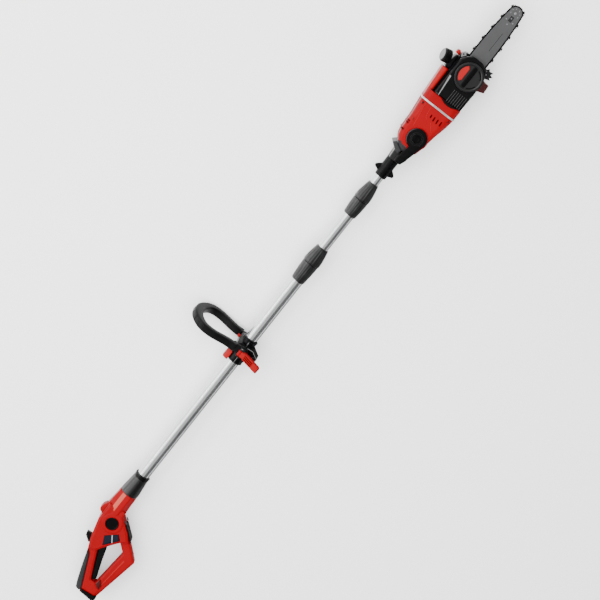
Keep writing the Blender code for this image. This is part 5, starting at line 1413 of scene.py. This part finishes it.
def build_gear_case():
    low, high = -0.044, 0.0205
    outline = fillet(CASE, [0.001, 0.01, 0.012, 0.012, 0.01, 0.008, 0.001], 6)
    levels = [(0.0056, low), (0.0026, low + 0.0007), (0.0009, low + 0.0022), (0.0, low + 0.0044), (0.0,
                                                                                                   high
                                                                                                   - 0.001),
              (0.0004, high - 0.0003), (0.0008, high)]
    case = pillow("gear_case_body", outline, levels, "black")
    room = pillow("room", [(CASE_REAR - 0.002, -0.048), (1.404, -0.048), (1.43, -0.042), (1.43, 0.028),
                           (CASE_REAR - 0.002, 0.028)], [(0.0, -0.04), (0.0, 0.0165)], None)
    tools = [room, placed([(-0.02, 0.0), (-0.02, 0.0075), (0.05, 0.0075), (0.05, 0.0)], DRIVE, None, "hole"),
             placed([(0.006, 0.0), (0.006, 0.0042), (0.05, 0.0042), (0.05, 0.0)], (STUD_X, DRIVE.y, 0.0),
                    None, "hole")]
    put(boolean(case, tools), "head", "black", "gear_case")
    for number in range(5):
        y = -0.044 + 0.015 * number
        rib = cuboid(f"gear_case_rib_{number + 1}", (1.35, y, low + 0.0002), (1.428, y + 0.0016,
                                                                              low + 0.0014), "black", 0.0005)
        rib.data.transform(Matrix.Translation(Vector((0.0, 0.0, -0.0002))))
        put(rib, "head", "black", "gear_case")
    seat = [(0.0, 0.0), (0.0, 0.0125), (0.001, 0.013), (0.001, 0.01), (-0.0002, 0.0096), (-0.0002, 0.0)]
    put(placed(seat, (DRIVE.x, DRIVE.y, low + 0.0009), "black", "gear_case_bearing_seat", axis=(0.0, 0.0,
                                                                                                -1.0)),
        "head", "black", "gear_case")
    for number, (x, y) in enumerate(((1.356, 0.026), (1.356, -0.048), (1.462, 0.02), (1.46, -0.034)), 1):
        screw = torx_screw(f"gear_case_screw_{number}", (x, y, low + 0.0016), 0.0034, (0.0, 0.0, -1.0))
        put(screw, "head", "dark_steel", "gear_case")


def build_sprocket_cover():
    low, high = 0.0208, 0.046
    outline = fillet(COVER, [0.001, 0.01, 0.012, 0.01, 0.012, 0.01, 0.008, 0.006, 0.001], 6)
    levels = [(0.0006, low), (0.0, low + 0.0006), (0.0, high - 0.006), (0.0006, high - 0.0034),
              (0.002, high - 0.0014), (0.0042, high)]
    cover = pillow("sprocket_cover_body", outline, levels, "black")
    room = pillow("room", [(1.366, -0.043), (1.41, -0.048), (1.445, -0.044), (1.49, -0.044), (1.49, 0.0215),
                           (1.445, 0.023), (1.366, 0.022)], [(0.0, 0.018), (0.0, 0.0345)], None)
    tools = [room, placed([(0.03, 0.0), (0.03, 0.0042), (0.06, 0.0042), (0.06, 0.0)], (STUD_X, DRIVE.y, 0.0),
                          None, "hole"), placed([(-0.0003, 0.0), (-0.0003, KNOB_R + 0.0003), (0.01,
                                                                                              KNOB_R
                                                                                              + 0.0003),
                                                 (0.01, 0.0)], KNOB, None, "seat", steps=160)]
    put(boolean(cover, tools), "head", "black", "sprocket_cover")
    for number in range(7):
        y = -0.0485 + 0.0066 * number
        ridge = stroke(f"sprocket_cover_ridge_{number + 1}", (1.349 - 0.0006 * number, y), (1.383, y),
                       0.0011, high - 0.0006, high + 0.0006, "grey", 0.0003)
        put(ridge, "head", "black", "sprocket_cover")
    tongue = arc((1.385, -0.019), 0.0475, 140.0, 222.0, 30)
    tongue = [(x, y) for x, y in tongue if x < 1.3456]
    insert = pillow("sprocket_cover_tongue", tongue, [(0.0, high - 0.004), (0.0, high + 0.0014),
                                                     (0.0006, high + 0.0019)], "black")
    put(insert, "head", "black", "sprocket_cover")
    # Thin pale wedge on the cover's top side: a painted highlight streak.
    wedge = [(1.3462, 0.0166), (1.405, 0.0212), (1.406, 0.0262), (1.3462, 0.018)]
    streak = pillow("sprocket_cover_highlight", wedge, [(0.0, high - 0.0004), (0.0, high + 0.0003)], "pale")
    put(streak, "head", "black", "sprocket_cover")
    band = fillet([(CASE_REAR + 0.0006, 0.0196), (CASE_REAR + 0.0006, 0.0262), (1.44, 0.0262), (1.42,
                                                                                                0.0214),
                   (1.408, 0.0196)], [0.001, 0.001, 0.001, 0.004, 0.004], 4)
    put(pillow("sprocket_cover_band", band, [(0.0, high - 0.001), (0.0, high - 0.0005), (0.0007,
                                                                                         high - 0.0001)],
               "charcoal"), "head", "black", "sprocket_cover")
    for number, (x, y) in enumerate(((1.3535, 0.015), (1.3535, -0.012), (1.381, 0.018)), 1):
        ring = [(0.0, 0.0044), (0.0, 0.0052), (0.0002, 0.0049), (0.0002, 0.0046)]
        put(placed(ring, (x, y, high - 0.0002), "black", f"sprocket_cover_ring_{number}", steps=48), "head",
            "black", "sprocket_cover")
    stud = [(0.0065, 0.0), (0.0065, 0.0034), (0.007, 0.0038)]
    for turn in range(18):
        z = 0.018 + 0.0013 * turn
        stud += [(z, 0.0038), (z + 0.0006, 0.0033)]
    stud += [(0.0422, 0.0036), (0.0428, 0.003), (0.0428, 0.0)]
    put(placed(stud, (STUD_X, DRIVE.y, 0.0), "steel", "bar_stud_bolt", steps=32), "head", "steel",
        "bar_stud")


def build_knob():
    rim = KNOB_R - 0.0004

    def knurl(turn, along, size):
        return size - (0.0005 * (0.5 + 0.5 * math.cos(60.0 * turn)) if size > rim - 0.0002 else 0.0)

    profile = [(0.0, 0.0), (0.0, rim - 0.0008), (0.0008, rim), (0.0042, rim), (0.0054, rim - 0.0008),
               (0.006, rim - 0.0022), (0.006, rim - 0.0058), (0.0054, rim - 0.007), (0.0042, rim - 0.0082),
               (0.004, 0.02), (0.0036, 0.0)]
    dial = placed(profile, KNOB, "black_sheen", "tension_knob_dial", steps=360, ripple=knurl)
    put(dial, "knob", "black", "tension_knob")
    start, end = 38.0, 142.0
    middle = Vector((KNOB.x, KNOB.y))
    outer = arc(middle, rim - 0.01, start, end, 40)
    crescent = outer + [(KNOB.x - 0.017, KNOB.y + 0.0124), (KNOB.x + 0.017, KNOB.y + 0.0124)]
    top = KNOB.z + 0.004
    inlay = pillow("tension_knob_inlay", crescent, [(0.0, top - 0.001), (0.0, top + 0.0006), (0.0008,
                                                                                              top + 0.0012)],
                   "red_lit")
    put(inlay, "knob", "red", "tension_knob")
    grip = [(KNOB.x - 0.03, KNOB.y - 0.0058), (KNOB.x + 0.03, KNOB.y - 0.0058),
            (KNOB.x + 0.03, KNOB.y + 0.0058), (KNOB.x - 0.03, KNOB.y + 0.0058)]
    levels = [(-0.0014, KNOB.z + 0.0034), (0.0, KNOB.z + 0.0044), (0.0, 0.0512), (0.0004, 0.0522), (0.0014,
                                                                                                    0.0529)]
    bar = pillow("tension_knob_grip", fillet(grip, 0.004, 7), levels, "black_gloss")
    put(bar, "knob", "black", "tension_knob")
    for number in range(5):
        x = KNOB.x - 0.016 + 0.008 * number
        put(cuboid(f"tension_knob_grip_rib_{number + 1}", (x - 0.0006, KNOB.y - 0.0046, 0.0522),
                   (x + 0.0006, KNOB.y + 0.0046, 0.05299), "black", 0.0003), "knob", "black", "tension_knob")
    for number, side in enumerate((-1.0, 1.0), 1):
        outline = arc(middle, rim - 0.0085, 200.0 if side < 0 else 290.0, 250.0 if side < 0 else 340.0, 20)
        inner = arc(middle, rim - 0.012, 250.0 if side < 0 else 340.0, 200.0 if side < 0 else 290.0, 20)
        rib = pillow(f"tension_knob_rib_{number}", outline + inner, [(0.0, top - 0.0005), (0.0,
                                                                                           top + 0.0004),
                                                                     (0.0004, top + 0.0008)], "black")
        put(rib, "knob", "black", "tension_knob")


# ---------------------------------------------------------------- bar, chain and drive
BAR_Z = 0.027
BAR_HALF = 0.002
BAR_TIP = tool_box("guide_bar")[1].x
BAR_TAIL = tool_box("guide_bar")[0].x
NOSE_R = 0.0172
NOSE_X = BAR_TIP - NOSE_R
GUIDE = [(1.408, 0.019), (1.43, 0.0245), (1.52, 0.0247), (1.57, 0.0228), (1.62, 0.0185)]


def bar_half_width(x):
    for (x0, w0), (x1, w1) in zip(GUIDE, GUIDE[1:]):
        if x <= x1:
            return w0 + (w1 - w0) * (x - x0) / (x1 - x0)
    return GUIDE[-1][1]


def bar_edge(grow):
    """Open path round the bar's rails and nose, from the lower tail to the upper tail."""
    stations = [BAR_TAIL + 0.004 + (1.612 - BAR_TAIL - 0.004) * step / 14 for step in range(15)]
    lower = [(x, DRIVE.y - bar_half_width(x) - grow) for x in stations]
    upper = [(x, DRIVE.y + bar_half_width(x) + grow) for x in reversed(stations)]
    return lower + arc((NOSE_X, DRIVE.y), NOSE_R + grow, -74.0, 74.0, 26) + upper


def build_bar():
    outline = bar_edge(0.0) + [(BAR_TAIL, DRIVE.y + 0.0196), (BAR_TAIL, DRIVE.y - 0.0196)]
    side = [(0.0, 0.0006), (0.0, BAR_HALF - 0.0003), (0.0003, BAR_HALF)]
    levels = [(amount, BAR_Z - z) for amount, z in reversed(side)] + [(0.0012, BAR_Z - 0.0006), (0.0012,
                                                                                                 BAR_Z
                                                                                                 + 0.0006)]
    levels = [(0.0003, BAR_Z - BAR_HALF), (0.0, BAR_Z - BAR_HALF + 0.0003), (0.0, BAR_Z - 0.0007),
              (0.0016, BAR_Z - 0.0007), (0.0016, BAR_Z + 0.0007), (0.0, BAR_Z + 0.0007),
              (0.0, BAR_Z + BAR_HALF - 0.0003), (0.0003, BAR_Z + BAR_HALF)]
    plate = pillow("guide_bar_plate", outline, levels, "bar")
    slot = stroke("slot", (STUD_X - 0.002, DRIVE.y), (STUD_X + 0.0048, DRIVE.y), 0.0084, 0.0, 0.05, None)
    tools = [slot]
    for turn in range(8):
        angle = math.radians(45.0 * turn + 22.5)
        tools.append(placed([(0.0, 0.0), (0.0, 0.0008), (0.05, 0.0008), (0.05, 0.0)],
                            (NOSE_X + 0.0122 * math.cos(angle), DRIVE.y + 0.0122 * math.sin(angle), 0.0),
                            None, "hole", steps=16))
    boolean(plate, tools)
    put(plate, "bar", "steel", "guide_bar")
    for side in (1.0, -1.0):
        word = "near" if side > 0 else "far"
        face = BAR_Z + side * BAR_HALF
        lip = [(0.0, 0.0), (0.0, 0.0034), (0.0002, 0.0031), (0.0003, 0.0024), (0.0003, 0.0)]
        put(placed(lip, (NOSE_X, DRIVE.y, face), "steel", f"guide_bar_nose_hub_{word}", axis=(0.0, 0.0,
                                                                                              side),
                   steps=48), "bar", "steel", "guide_bar")
        for number, (x, y) in enumerate(((1.608, 0.0105), (1.608, -0.0105), (1.598, 0.0), (1.616, 0.0)), 1):
            rivet = [(0.0, 0.0), (0.0, 0.0017), (0.0003, 0.0014), (0.0003, 0.0)]
            put(placed(rivet, (x, DRIVE.y + y, face), "steel", f"guide_bar_rivet_{word}_{number}",
                       axis=(0.0, 0.0, side), steps=24), "bar", "steel", "guide_bar")
        for number, (start, end, width) in enumerate(((1.515, 1.572, 0.0012), (1.606, 1.622, 0.01)), 1):
            middle = DRIVE.y - (0.006 if number == 1 else 0.0)
            badge = [(start, middle - width / 2.0), (end, middle - width / 2.0), (end, middle + width / 2.0),
                     (start, middle + width / 2.0)]
            mark = pillow(f"guide_bar_mark_{word}_{number}", fillet(badge, 0.0005, 3),
                          [(0.0, face - side * 0.0002), (0.0, face + side * 0.00012)], "charcoal")
            put(mark, "bar", "steel", "guide_bar")


def chain_path():
    """Closed centre line of the chain's rivets, as evenly spaced points."""
    grow = 0.0022
    points = [Vector(point) for point in bar_edge(grow)]
    points += [Vector(point) for point in arc((DRIVE.x, DRIVE.y), 0.0215 + grow, 88.0, 272.0, 30)]
    closed = points + [points[0]]
    lengths = [0.0]
    for first, second in zip(closed, closed[1:]):
        lengths.append(lengths[-1] + (second - first).length)
    return closed, lengths


def on_path(path, lengths, distance):
    total = lengths[-1]
    distance %= total
    for index in range(len(lengths) - 1):
        if distance <= lengths[index + 1]:
            share = (distance - lengths[index]) / max(lengths[index + 1] - lengths[index], 0.0000001)
            return path[index].lerp(path[index + 1], share)
    return path[0]


CHAIN_PITCH = 0.00905


def chain_link(name, kind, side=1.0):
    """One link drawn along X with its outer side towards -Y; the rivets sit at X = 0 and the pitch."""
    pitch = CHAIN_PITCH
    low, high = -0.002, 0.002
    if kind == "drive":
        outline = [(-0.0008, low), (pitch + 0.0008, low), (pitch + 0.0008, 0.0014), (pitch * 0.74, 0.0024),
                   (pitch * 0.5, 0.0027), (pitch * 0.26, 0.0024), (-0.0008, 0.0014)]
        return pillow(name, fillet(outline, 0.0008, 3), [(0.0001, -0.0007), (0.0, -0.0006), (0.0, 0.0006),
                                                         (0.0001, 0.0007)], "chain")
    depth = 0.0009
    start = side * 0.001
    if kind == "tie":
        outline = [(-0.0019, low), (pitch + 0.0019, low), (pitch + 0.0019, high - 0.0004), (pitch * 0.5,
                                                                                            high + 0.0002),
                   (-0.0019, high - 0.0004)]
    else:
        outline = [(-0.002, -0.002), (-0.0004, -0.0024), (0.0004, -0.0042), (0.0022, -0.0044), (0.0027,
                                                                                                -0.0024),
                   (0.004, -0.0024), (0.0042, -0.0052), (pitch + 0.003, -0.0048), (pitch + 0.0026, -0.002),
                   (pitch + 0.0019, 0.0016), (pitch * 0.5, 0.0022), (-0.002, 0.0016)]
    plate = pillow(name, fillet(outline, 0.0005, 2), sorted([(0.0, start), (0.0, start + side * depth)],
                                                            key=lambda level: level[1]), "chain")
    return plate


def build_chain():
    path, lengths = chain_path()
    count = 2 * int(round(lengths[-1] / (2.0 * CHAIN_PITCH)))
    step = lengths[-1] / count
    for number in range(count):
        start = on_path(path, lengths, number * step)
        end = on_path(path, lengths, (number + 1) * step)
        along = (end - start).normalized()
        turn = Matrix.Rotation(math.atan2(along.y, along.x), 4, "Z")
        place = Matrix.Translation(Vector((start.x, start.y, BAR_Z))) @ turn
        pieces = []
        if number % 2 == 0:
            pieces.append(chain_link(f"chain_drive_{number:03d}", "drive"))
        else:
            cutter_side = {3: 1.0, 7: -1.0}.get(number % 8)
            for side in (1.0, -1.0):
                kind = "cutter" if cutter_side == side else "tie"
                pieces.append(chain_link(f"chain_{kind}_{number:03d}_{'near' if side > 0 else 'far'}", kind,
                                         side))
            if cutter_side is not None:
                low = min(0.0, cutter_side * 0.0031)
                tooth = pillow(f"chain_tooth_{number:03d}",
                               [(0.0044, -0.0043), (step + 0.0016, -0.004), (step + 0.0012, -0.0052),
                                (0.0044, -0.0057)], [(0.0, low), (0.0, low + 0.0031)], "chain")
                pieces.append(tooth)
            for rivet_x in (0.0, step):
                pieces.append(placed([(-0.0023, 0.0), (-0.0023, 0.001), (-0.0021, 0.0014), (0.0021, 0.0014),
                                      (0.0023, 0.001), (0.0023, 0.0)], (rivet_x, 0.0, 0.0), "chain",
                                     f"chain_rivet_{number:03d}_{int(rivet_x > 0.0)}", steps=14))
        for piece in pieces:
            piece.data.transform(place)
            put(piece, "bar", "dark_steel", "saw_chain")


def build_drive():
    profile = [(0.0, 0.0062), (0.0, 0.0205), (0.0062, 0.0205), (0.0062, 0.0062)]

    def teeth(turn, along, size):
        return size - 0.0042 * max(0.0, math.cos(7.0 * turn)) ** 0.6 if size > 0.012 else size

    wheel = placed(profile, (DRIVE.x, DRIVE.y, BAR_Z - 0.0031), "steel", "drive_sprocket_star", steps=168,
                   ripple=teeth)
    tools = []
    for number in range(7):
        angle = 2.0 * math.pi * (number + 0.5) / 7
        tools.append(placed([(0.0, 0.0), (0.0, 0.0019), (0.05, 0.0019), (0.05, 0.0)],
                            (DRIVE.x + 0.0115 * math.cos(angle), DRIVE.y + 0.0115 * math.sin(angle), 0.0),
                            None, "hole", steps=24))
    put(boolean(wheel, tools), "wheel", "dark_steel", "drive_sprocket")
    top = BAR_Z + 0.005
    shaft = [(-0.035, 0.0), (-0.035, 0.0053), (-0.0344, 0.0059), (-0.027, 0.0059), (-0.027, 0.023),
             (-0.0264, 0.024), (-0.021, 0.024), (-0.012, 0.012), (-0.012, 0.0059), (top - 0.0006, 0.0059),
             (top, 0.0053), (top, 0.0)]

    def bevel_teeth(turn, along, size):
        return size - 0.0013 * (0.5
                                + 0.5 * math.cos(30.0 * turn)) if size > 0.011 and along > -0.024 else size

    put(placed(shaft, DRIVE, "steel", "bevel_wheel_gear", steps=240, ripple=bevel_teeth), "wheel", "steel",
        "bevel_wheel")
    clip = [(0.0, 0.004), (0.0, 0.0058), (0.0008, 0.0058), (0.0008, 0.004)]
    put(placed(clip, (DRIVE.x, DRIVE.y, BAR_Z + 0.0034), "dark_steel", "sprocket_clip", steps=40), "wheel",
        "dark_steel", "drive_sprocket")


def build_motor():
    low, high = tool_box("motor_can")
    centre = Vector((0.0, (low.y + high.y) / 2.0, (low.z + high.z) / 2.0))
    radius = (high.y - low.y) / 2.0
    rear, front = low.x, high.x
    can = [(rear, 0.0064), (rear, radius - 0.002), (rear + 0.0006, radius - 0.0006), (rear + 0.002, radius),
           (front - 0.006, radius), (front - 0.0054, radius - 0.0008), (front - 0.003, radius - 0.0008),
           (front - 0.0024, radius), (front - 0.0006, radius - 0.0004), (front, radius - 0.002), (front,
                                                                                                  0.0064),
           (front - 0.003, 0.0064), (front - 0.003, radius - 0.003), (rear + 0.003, radius - 0.003),
           (rear + 0.003, 0.0064)]
    shell = lathe("motor_can_shell", can, "steel", centre, steps=96)
    tools = []
    for turn in range(8):
        angle = math.radians(45.0 * turn)
        tools.append(lathe("vent", [(-0.006, 0.0), (-0.006, 0.003), (0.006, 0.003), (0.006, 0.0)], None,
                           (rear + 0.002, centre.y + 0.016 * math.cos(angle),
                            centre.z + 0.016 * math.sin(angle)), steps=20))
    put(boolean(shell, tools), "head", "steel", "motor_can")
    low, high = tool_box("motor_rotor")
    shaft = [(low.x, 0.0), (low.x, 0.0026), (low.x + 0.0005, 0.003), (1.278, 0.003), (1.278, 0.0185),
             (1.2784, 0.019), (1.3146, 0.019), (1.315, 0.0185), (1.315, 0.003), (1.3604, 0.003)]

    def poles(turn, along, size):
        return size - (0.003 if math.cos(12.0 * turn) > 0.86 and size > 0.015 else 0.0)

    put(lathe("motor_rotor_core", shaft + [(1.3604, 0.0)], "dark_steel", centre, steps=144, ripple=poles),
        "rotor", "dark_steel", "motor_rotor")

    def pinion_teeth(turn, along, size):
        return size - 0.0012 * (0.5 + 0.5 * math.cos(12.0 * turn)) if size > 0.005 else size

    pinion = [(1.3604, 0.0028), (1.3604, 0.0085), (1.365, 0.0095), (high.x, 0.006), (high.x, 0.0028)]
    put(lathe("motor_pinion", pinion, "steel", centre, steps=144, ripple=pinion_teeth), "rotor",
        "dark_steel", "motor_rotor")
    for word, x, direction in (("rear", 1.2776, -1.0), ("front", 1.3154, 1.0)):
        for turn in range(12):
            angle = 2.0 * math.pi * turn / 12
            loop = [Vector((x, centre.y + r * math.cos(angle + a), centre.z + r * math.sin(angle + a)))
                    + Vector((direction * bulge, 0.0, 0.0))
                    for r, a, bulge in ((0.0165, -0.2, 0.0), (0.016, -0.16, 0.003), (0.0155, 0.0, 0.0042),
                                        (0.016, 0.16, 0.003), (0.0165, 0.2, 0.0))]
            wire = sweep(f"motor_winding_{word}_{turn + 1}", curve_through(loop, 4),
                         lambda t: arc((0.0, 0.0), 0.0012, 0.0, 315.0, 7), "copper",
                         Vector((0.0, math.cos(angle), math.sin(angle))))
            put(wire, "rotor", "dark_steel", "motor_rotor")


# ---------------------------------------------------------------- oil tank and front fittings
CAP_CENTRE = Vector((1.44, 0.052, 0.008))
CAP_AXIS = Vector((-0.2, 0.93, 0.3)).normalized()
CAP_R = 0.019
CAP_HEIGHT = 0.023
CAP_BASE = CAP_CENTRE + CAP_AXIS * 0.0004


def build_oil():
    outline = fillet([(1.414, 0.0345), (1.458, 0.0345), (1.456, 0.043), (1.414, 0.05)],
                     [0.001, 0.001, 0.005, 0.005], 5)
    rim = 0.0034
    levels = [(rim, -0.034), (rim * 0.3, -0.0332), (0.0, -0.031), (0.0, 0.015), (rim * 0.3, 0.0172), (rim,
                                                                                                      0.018)]
    tank = pillow("oil_tank_body", outline, levels, "black")
    low_cap = lathe("cap_room", [(-0.0006, 0.0), (-0.0006, CAP_R + 0.0006), (0.03, CAP_R + 0.0006), (0.03,
                                                                                                     0.0)],
                    None, CAP_BASE, CAP_AXIS, steps=96)
    put(boolean(tank, [low_cap]), "head", "black", "oil_tank")
    for number in range(4):
        z = -0.03 + 0.005 * number
        put(cuboid(f"oil_tank_rib_{number + 1}", (1.4182, 0.04, z), (1.42, 0.0488, z + 0.0012), "black",
                   0.0003), "head", "black", "oil_tank")

    def ribs(turn, along, size):
        return size - (0.0011 * (0.5 - 0.5 * math.cos(36.0 * turn)) ** 2 if size > CAP_R - 0.0012 else 0.0)

    profile = [(0.0, 0.0), (0.0, CAP_R - 0.0008), (0.0006, CAP_R), (CAP_HEIGHT - 0.006, CAP_R),
               (CAP_HEIGHT - 0.0046, CAP_R - 0.0008), (CAP_HEIGHT - 0.003, CAP_R - 0.0026),
               (CAP_HEIGHT - 0.0022, CAP_R - 0.0034), (CAP_HEIGHT - 0.0022, 0.0)]
    cap = lathe("oil_cap_body", profile, "black", CAP_BASE, CAP_AXIS, steps=432, ripple=ribs)
    put(cap, "cap", "black", "oil_cap")
    disc = [(CAP_HEIGHT - 0.0024, 0.0), (CAP_HEIGHT - 0.0024, CAP_R - 0.0036), (CAP_HEIGHT - 0.0008,
                                                                                CAP_R - 0.0038),
            (CAP_HEIGHT - 0.0002, CAP_R - 0.005), (CAP_HEIGHT - 0.0006, CAP_R - 0.0066),
            (CAP_HEIGHT - 0.0001, 0.007), (CAP_HEIGHT - 0.0001, 0.0)]
    put(lathe("oil_cap_disc", disc, "pale", CAP_BASE, CAP_AXIS, steps=96), "cap", "light", "oil_cap")


def build_fittings():
    rim = 0.002
    lug = fillet([(1.4586, 0.0344), (1.467, 0.0344), (1.4722, 0.038), (1.4702, 0.0454), (1.4596, 0.0464)],
                 0.0018, 5)
    levels = [(rim, -0.02), (rim * 0.3, -0.0194), (0.0, -0.018), (0.0, 0.0), (rim * 0.3, 0.0014), (rim,
                                                                                                   0.002)]
    put(pillow("guard_lug_body", lug, levels, "red_lit"), "head", "red", "guard_lug")
    plate = fillet([(1.4586, 0.0304), (1.4706, 0.0204), (1.478, 0.03), (1.47, 0.0342)], 0.0014, 4)
    put(pillow("guard_plate_body", plate, [(0.0004, 0.021), (0.0, 0.0214), (0.0, 0.0254), (0.0006, 0.026)],
               "pale"), "head", "light", "guard_plate")
    put(torx_screw("guard_plate_screw", (1.469, 0.0292, 0.0258), 0.0024, UP), "head", "dark_steel",
        "guard_plate")
    hook = [(1.45, -0.0504), (1.456, -0.0715), (1.46, -0.065), (1.466, -0.072), (1.469, -0.063),
            (1.4765, -0.067), (1.475, -0.056), (1.48, -0.052), (1.4742, -0.046), (1.4784, -0.0334)]
    claw = pillow("branch_hook_plate", fillet(hook, [0.0, 0.0008, 0.0012, 0.0008, 0.0012, 0.0008, 0.0012,
                                                     0.0008, 0.0012, 0.0], 3), [(0.0003, 0.008), (0.0,
                                                                                                  0.0083),
                                                                                (0.0, 0.0107), (0.0003,
                                                                                                0.011)],
                  "dark_steel")
    put(claw, "head", "dark_steel", "branch_hook")
    for number, (x, y) in enumerate(((1.462, -0.053), (1.4695, -0.048)), 1):
        put(torx_screw(f"branch_hook_screw_{number}", (x, y, 0.0108), 0.0022, UP, "steel"), "head",
            "dark_steel", "branch_hook")
    # The chain catcher is red plastic drawn in dark maroon, as if in shadow: painted shade.
    catcher = fillet([(1.412, -0.058), (1.42, -0.08), (1.444, -0.078), (1.446, -0.056), (1.43, -0.0555)],
                     [0.001, 0.003, 0.004, 0.001, 0.001], 4)
    levels = [(0.001, 0.0), (0.0003, 0.0004), (0.0, 0.0012), (0.0, 0.0058), (0.0003, 0.0066), (0.001, 0.007)]
    body = pillow("chain_catcher_block", catcher, levels, "maroon")
    slots = [stroke("slot", (x, -0.062), (x + 0.0012, -0.074), 0.0022, 0.0052, 0.01, None)
             for x in (1.4235, 1.43, 1.4365)]
    put(boolean(body, slots), "head", "maroon", "chain_catcher")


build_rear_handle()
build_pole()
build_front_handle()
build_holder()
build_housing()
build_front_housing()
build_gear_case()
build_sprocket_cover()
build_knob()
build_bar()
build_chain()
build_drive()
build_motor()
build_oil()
build_fittings()


# ---------------------------------------------------------------- stage, light and camera
def plane(name, width, height, place, facing):
    """Rectangle whose front looks along facing, its width lying as near world X as it can."""
    normal = Vector(facing).normalized()
    across = (Vector((1.0, 0.0, 0.0)) - normal * normal.x).normalized()
    third = normal.cross(across)
    bm = bmesh.new()
    corners = [(-1, -1), (1, -1), (1, 1), (-1, 1)]
    bm.faces.new([bm.verts.new(Vector(place) + across * (a * width / 2.0) + third * (b * height / 2.0))
                  for a, b in corners])
    return object_from(bm, name)


def build_floor():
    mat, tree, shader, coords = new_material("floor_paint")
    shader.inputs["Base Color"].default_value = (0.9, 0.9, 0.9, 1.0)
    shader.inputs["Specular IOR Level"].default_value = 0.1
    grain = noise_node(tree, coords, 30.0)
    link(tree, range_node(tree, grain.outputs["Fac"], 0.8, 0.92).outputs["Result"],
         shader.inputs["Roughness"])
    floor = plane("floor", 14.0, 14.0, (0.0, 0.0, cad_bounds[0][2] - 0.0005), UP)
    floor.data.materials.append(mat)


def board(name, width, height, place, facing, shade):
    """Grey board that only shows as the darker side in the glossy pieces."""
    mat, tree, shader, coords = new_material(name + "_paint")
    shader.inputs["Base Color"].default_value = (shade, shade, shade, 1.0)
    shader.inputs["Specular IOR Level"].default_value = 0.0
    grain = noise_node(tree, coords, 20.0)
    link(tree, range_node(tree, grain.outputs["Fac"], 0.9, 1.0).outputs["Result"],
         shader.inputs["Roughness"])
    card = plane(name, width, height, place, facing)
    card.data.materials.append(mat)
    card.visible_camera = False
    card.visible_diffuse = False
    card.visible_shadow = False
    card.visible_transmission = False


def build_boards():
    """One tall board beside the object and one strip along its foot, both on the side away from the key."""
    place = Vector((-0.4, -1.97, 1.56))
    board("side_board", 6.5, 2.9, place, Vector((0.0, 1.97, -1.5)), 0.08)
    low = cad_bounds[0][2] + 0.003
    board("foot_board", 2.6, 0.42, (0.0, ORIGIN.y - 0.235, low), UP, 0.11)


def area_light(name, place, target, width, height, power):
    light = bpy.data.lights.new(name, "AREA")
    light.shape = "RECTANGLE"
    light.size = width
    light.size_y = height
    light.energy = power
    lamp = bpy.data.objects.new(name, light)
    lamp.location = place
    lamp.rotation_euler = (Vector(target) - Vector(place)).to_track_quat("-Z", "Y").to_euler()
    bpy.context.scene.collection.objects.link(lamp)
    return lamp


def build_light():
    world = bpy.data.worlds.new("studio")
    bpy.context.scene.world = world
    world.use_nodes = True
    sky = world.node_tree.nodes["Background"]
    sky.inputs["Color"].default_value = (1.0, 1.0, 1.0, 1.0)
    sky.inputs["Strength"].default_value = 0.85
    area_light("key", (-0.4, 2.05, 1.43), (-0.4, 0.0, 0.0), 6.0, 3.0, 110.0)
    area_light("strip", (-0.4, 1.9, 1.6), (-0.4, 0.0, 0.0), 5.0, 0.12, 26.0)
    top = area_light("top", (0.1, 0.3, 3.6), (0.0, 0.0, 0.0), 4.5, 4.5, 420.0)
    top.visible_glossy = False


def build_camera():
    towards = Vector((math.sin(math.radians(11.6)), math.sin(math.radians(7.0)), 0.0))
    towards.z = math.sqrt(1.0 - towards.x ** 2 - towards.y ** 2)
    along = (Vector((1.0, 0.0, 0.0)) - towards * towards.x).normalized()
    upward = towards.cross(along)
    roll_angle = math.radians(51.52)
    right = along * math.cos(roll_angle) - upward * math.sin(roll_angle)
    up = along * math.sin(roll_angle) + upward * math.cos(roll_angle)
    target = ORIGIN + Vector((0.6745, -0.03975, 0.0))
    data = bpy.data.cameras.new("camera")
    data.lens = 95.4
    data.sensor_width = 36.0
    data.dof.use_dof = False
    camera = bpy.data.objects.new("camera", data)
    turn = Matrix((right, up, towards)).transposed().to_4x4()
    camera.matrix_world = Matrix.Translation(target + towards * 4.36) @ turn
    bpy.context.scene.collection.objects.link(camera)
    bpy.context.scene.camera = camera


build_floor()
build_boards()
build_light()
build_camera()
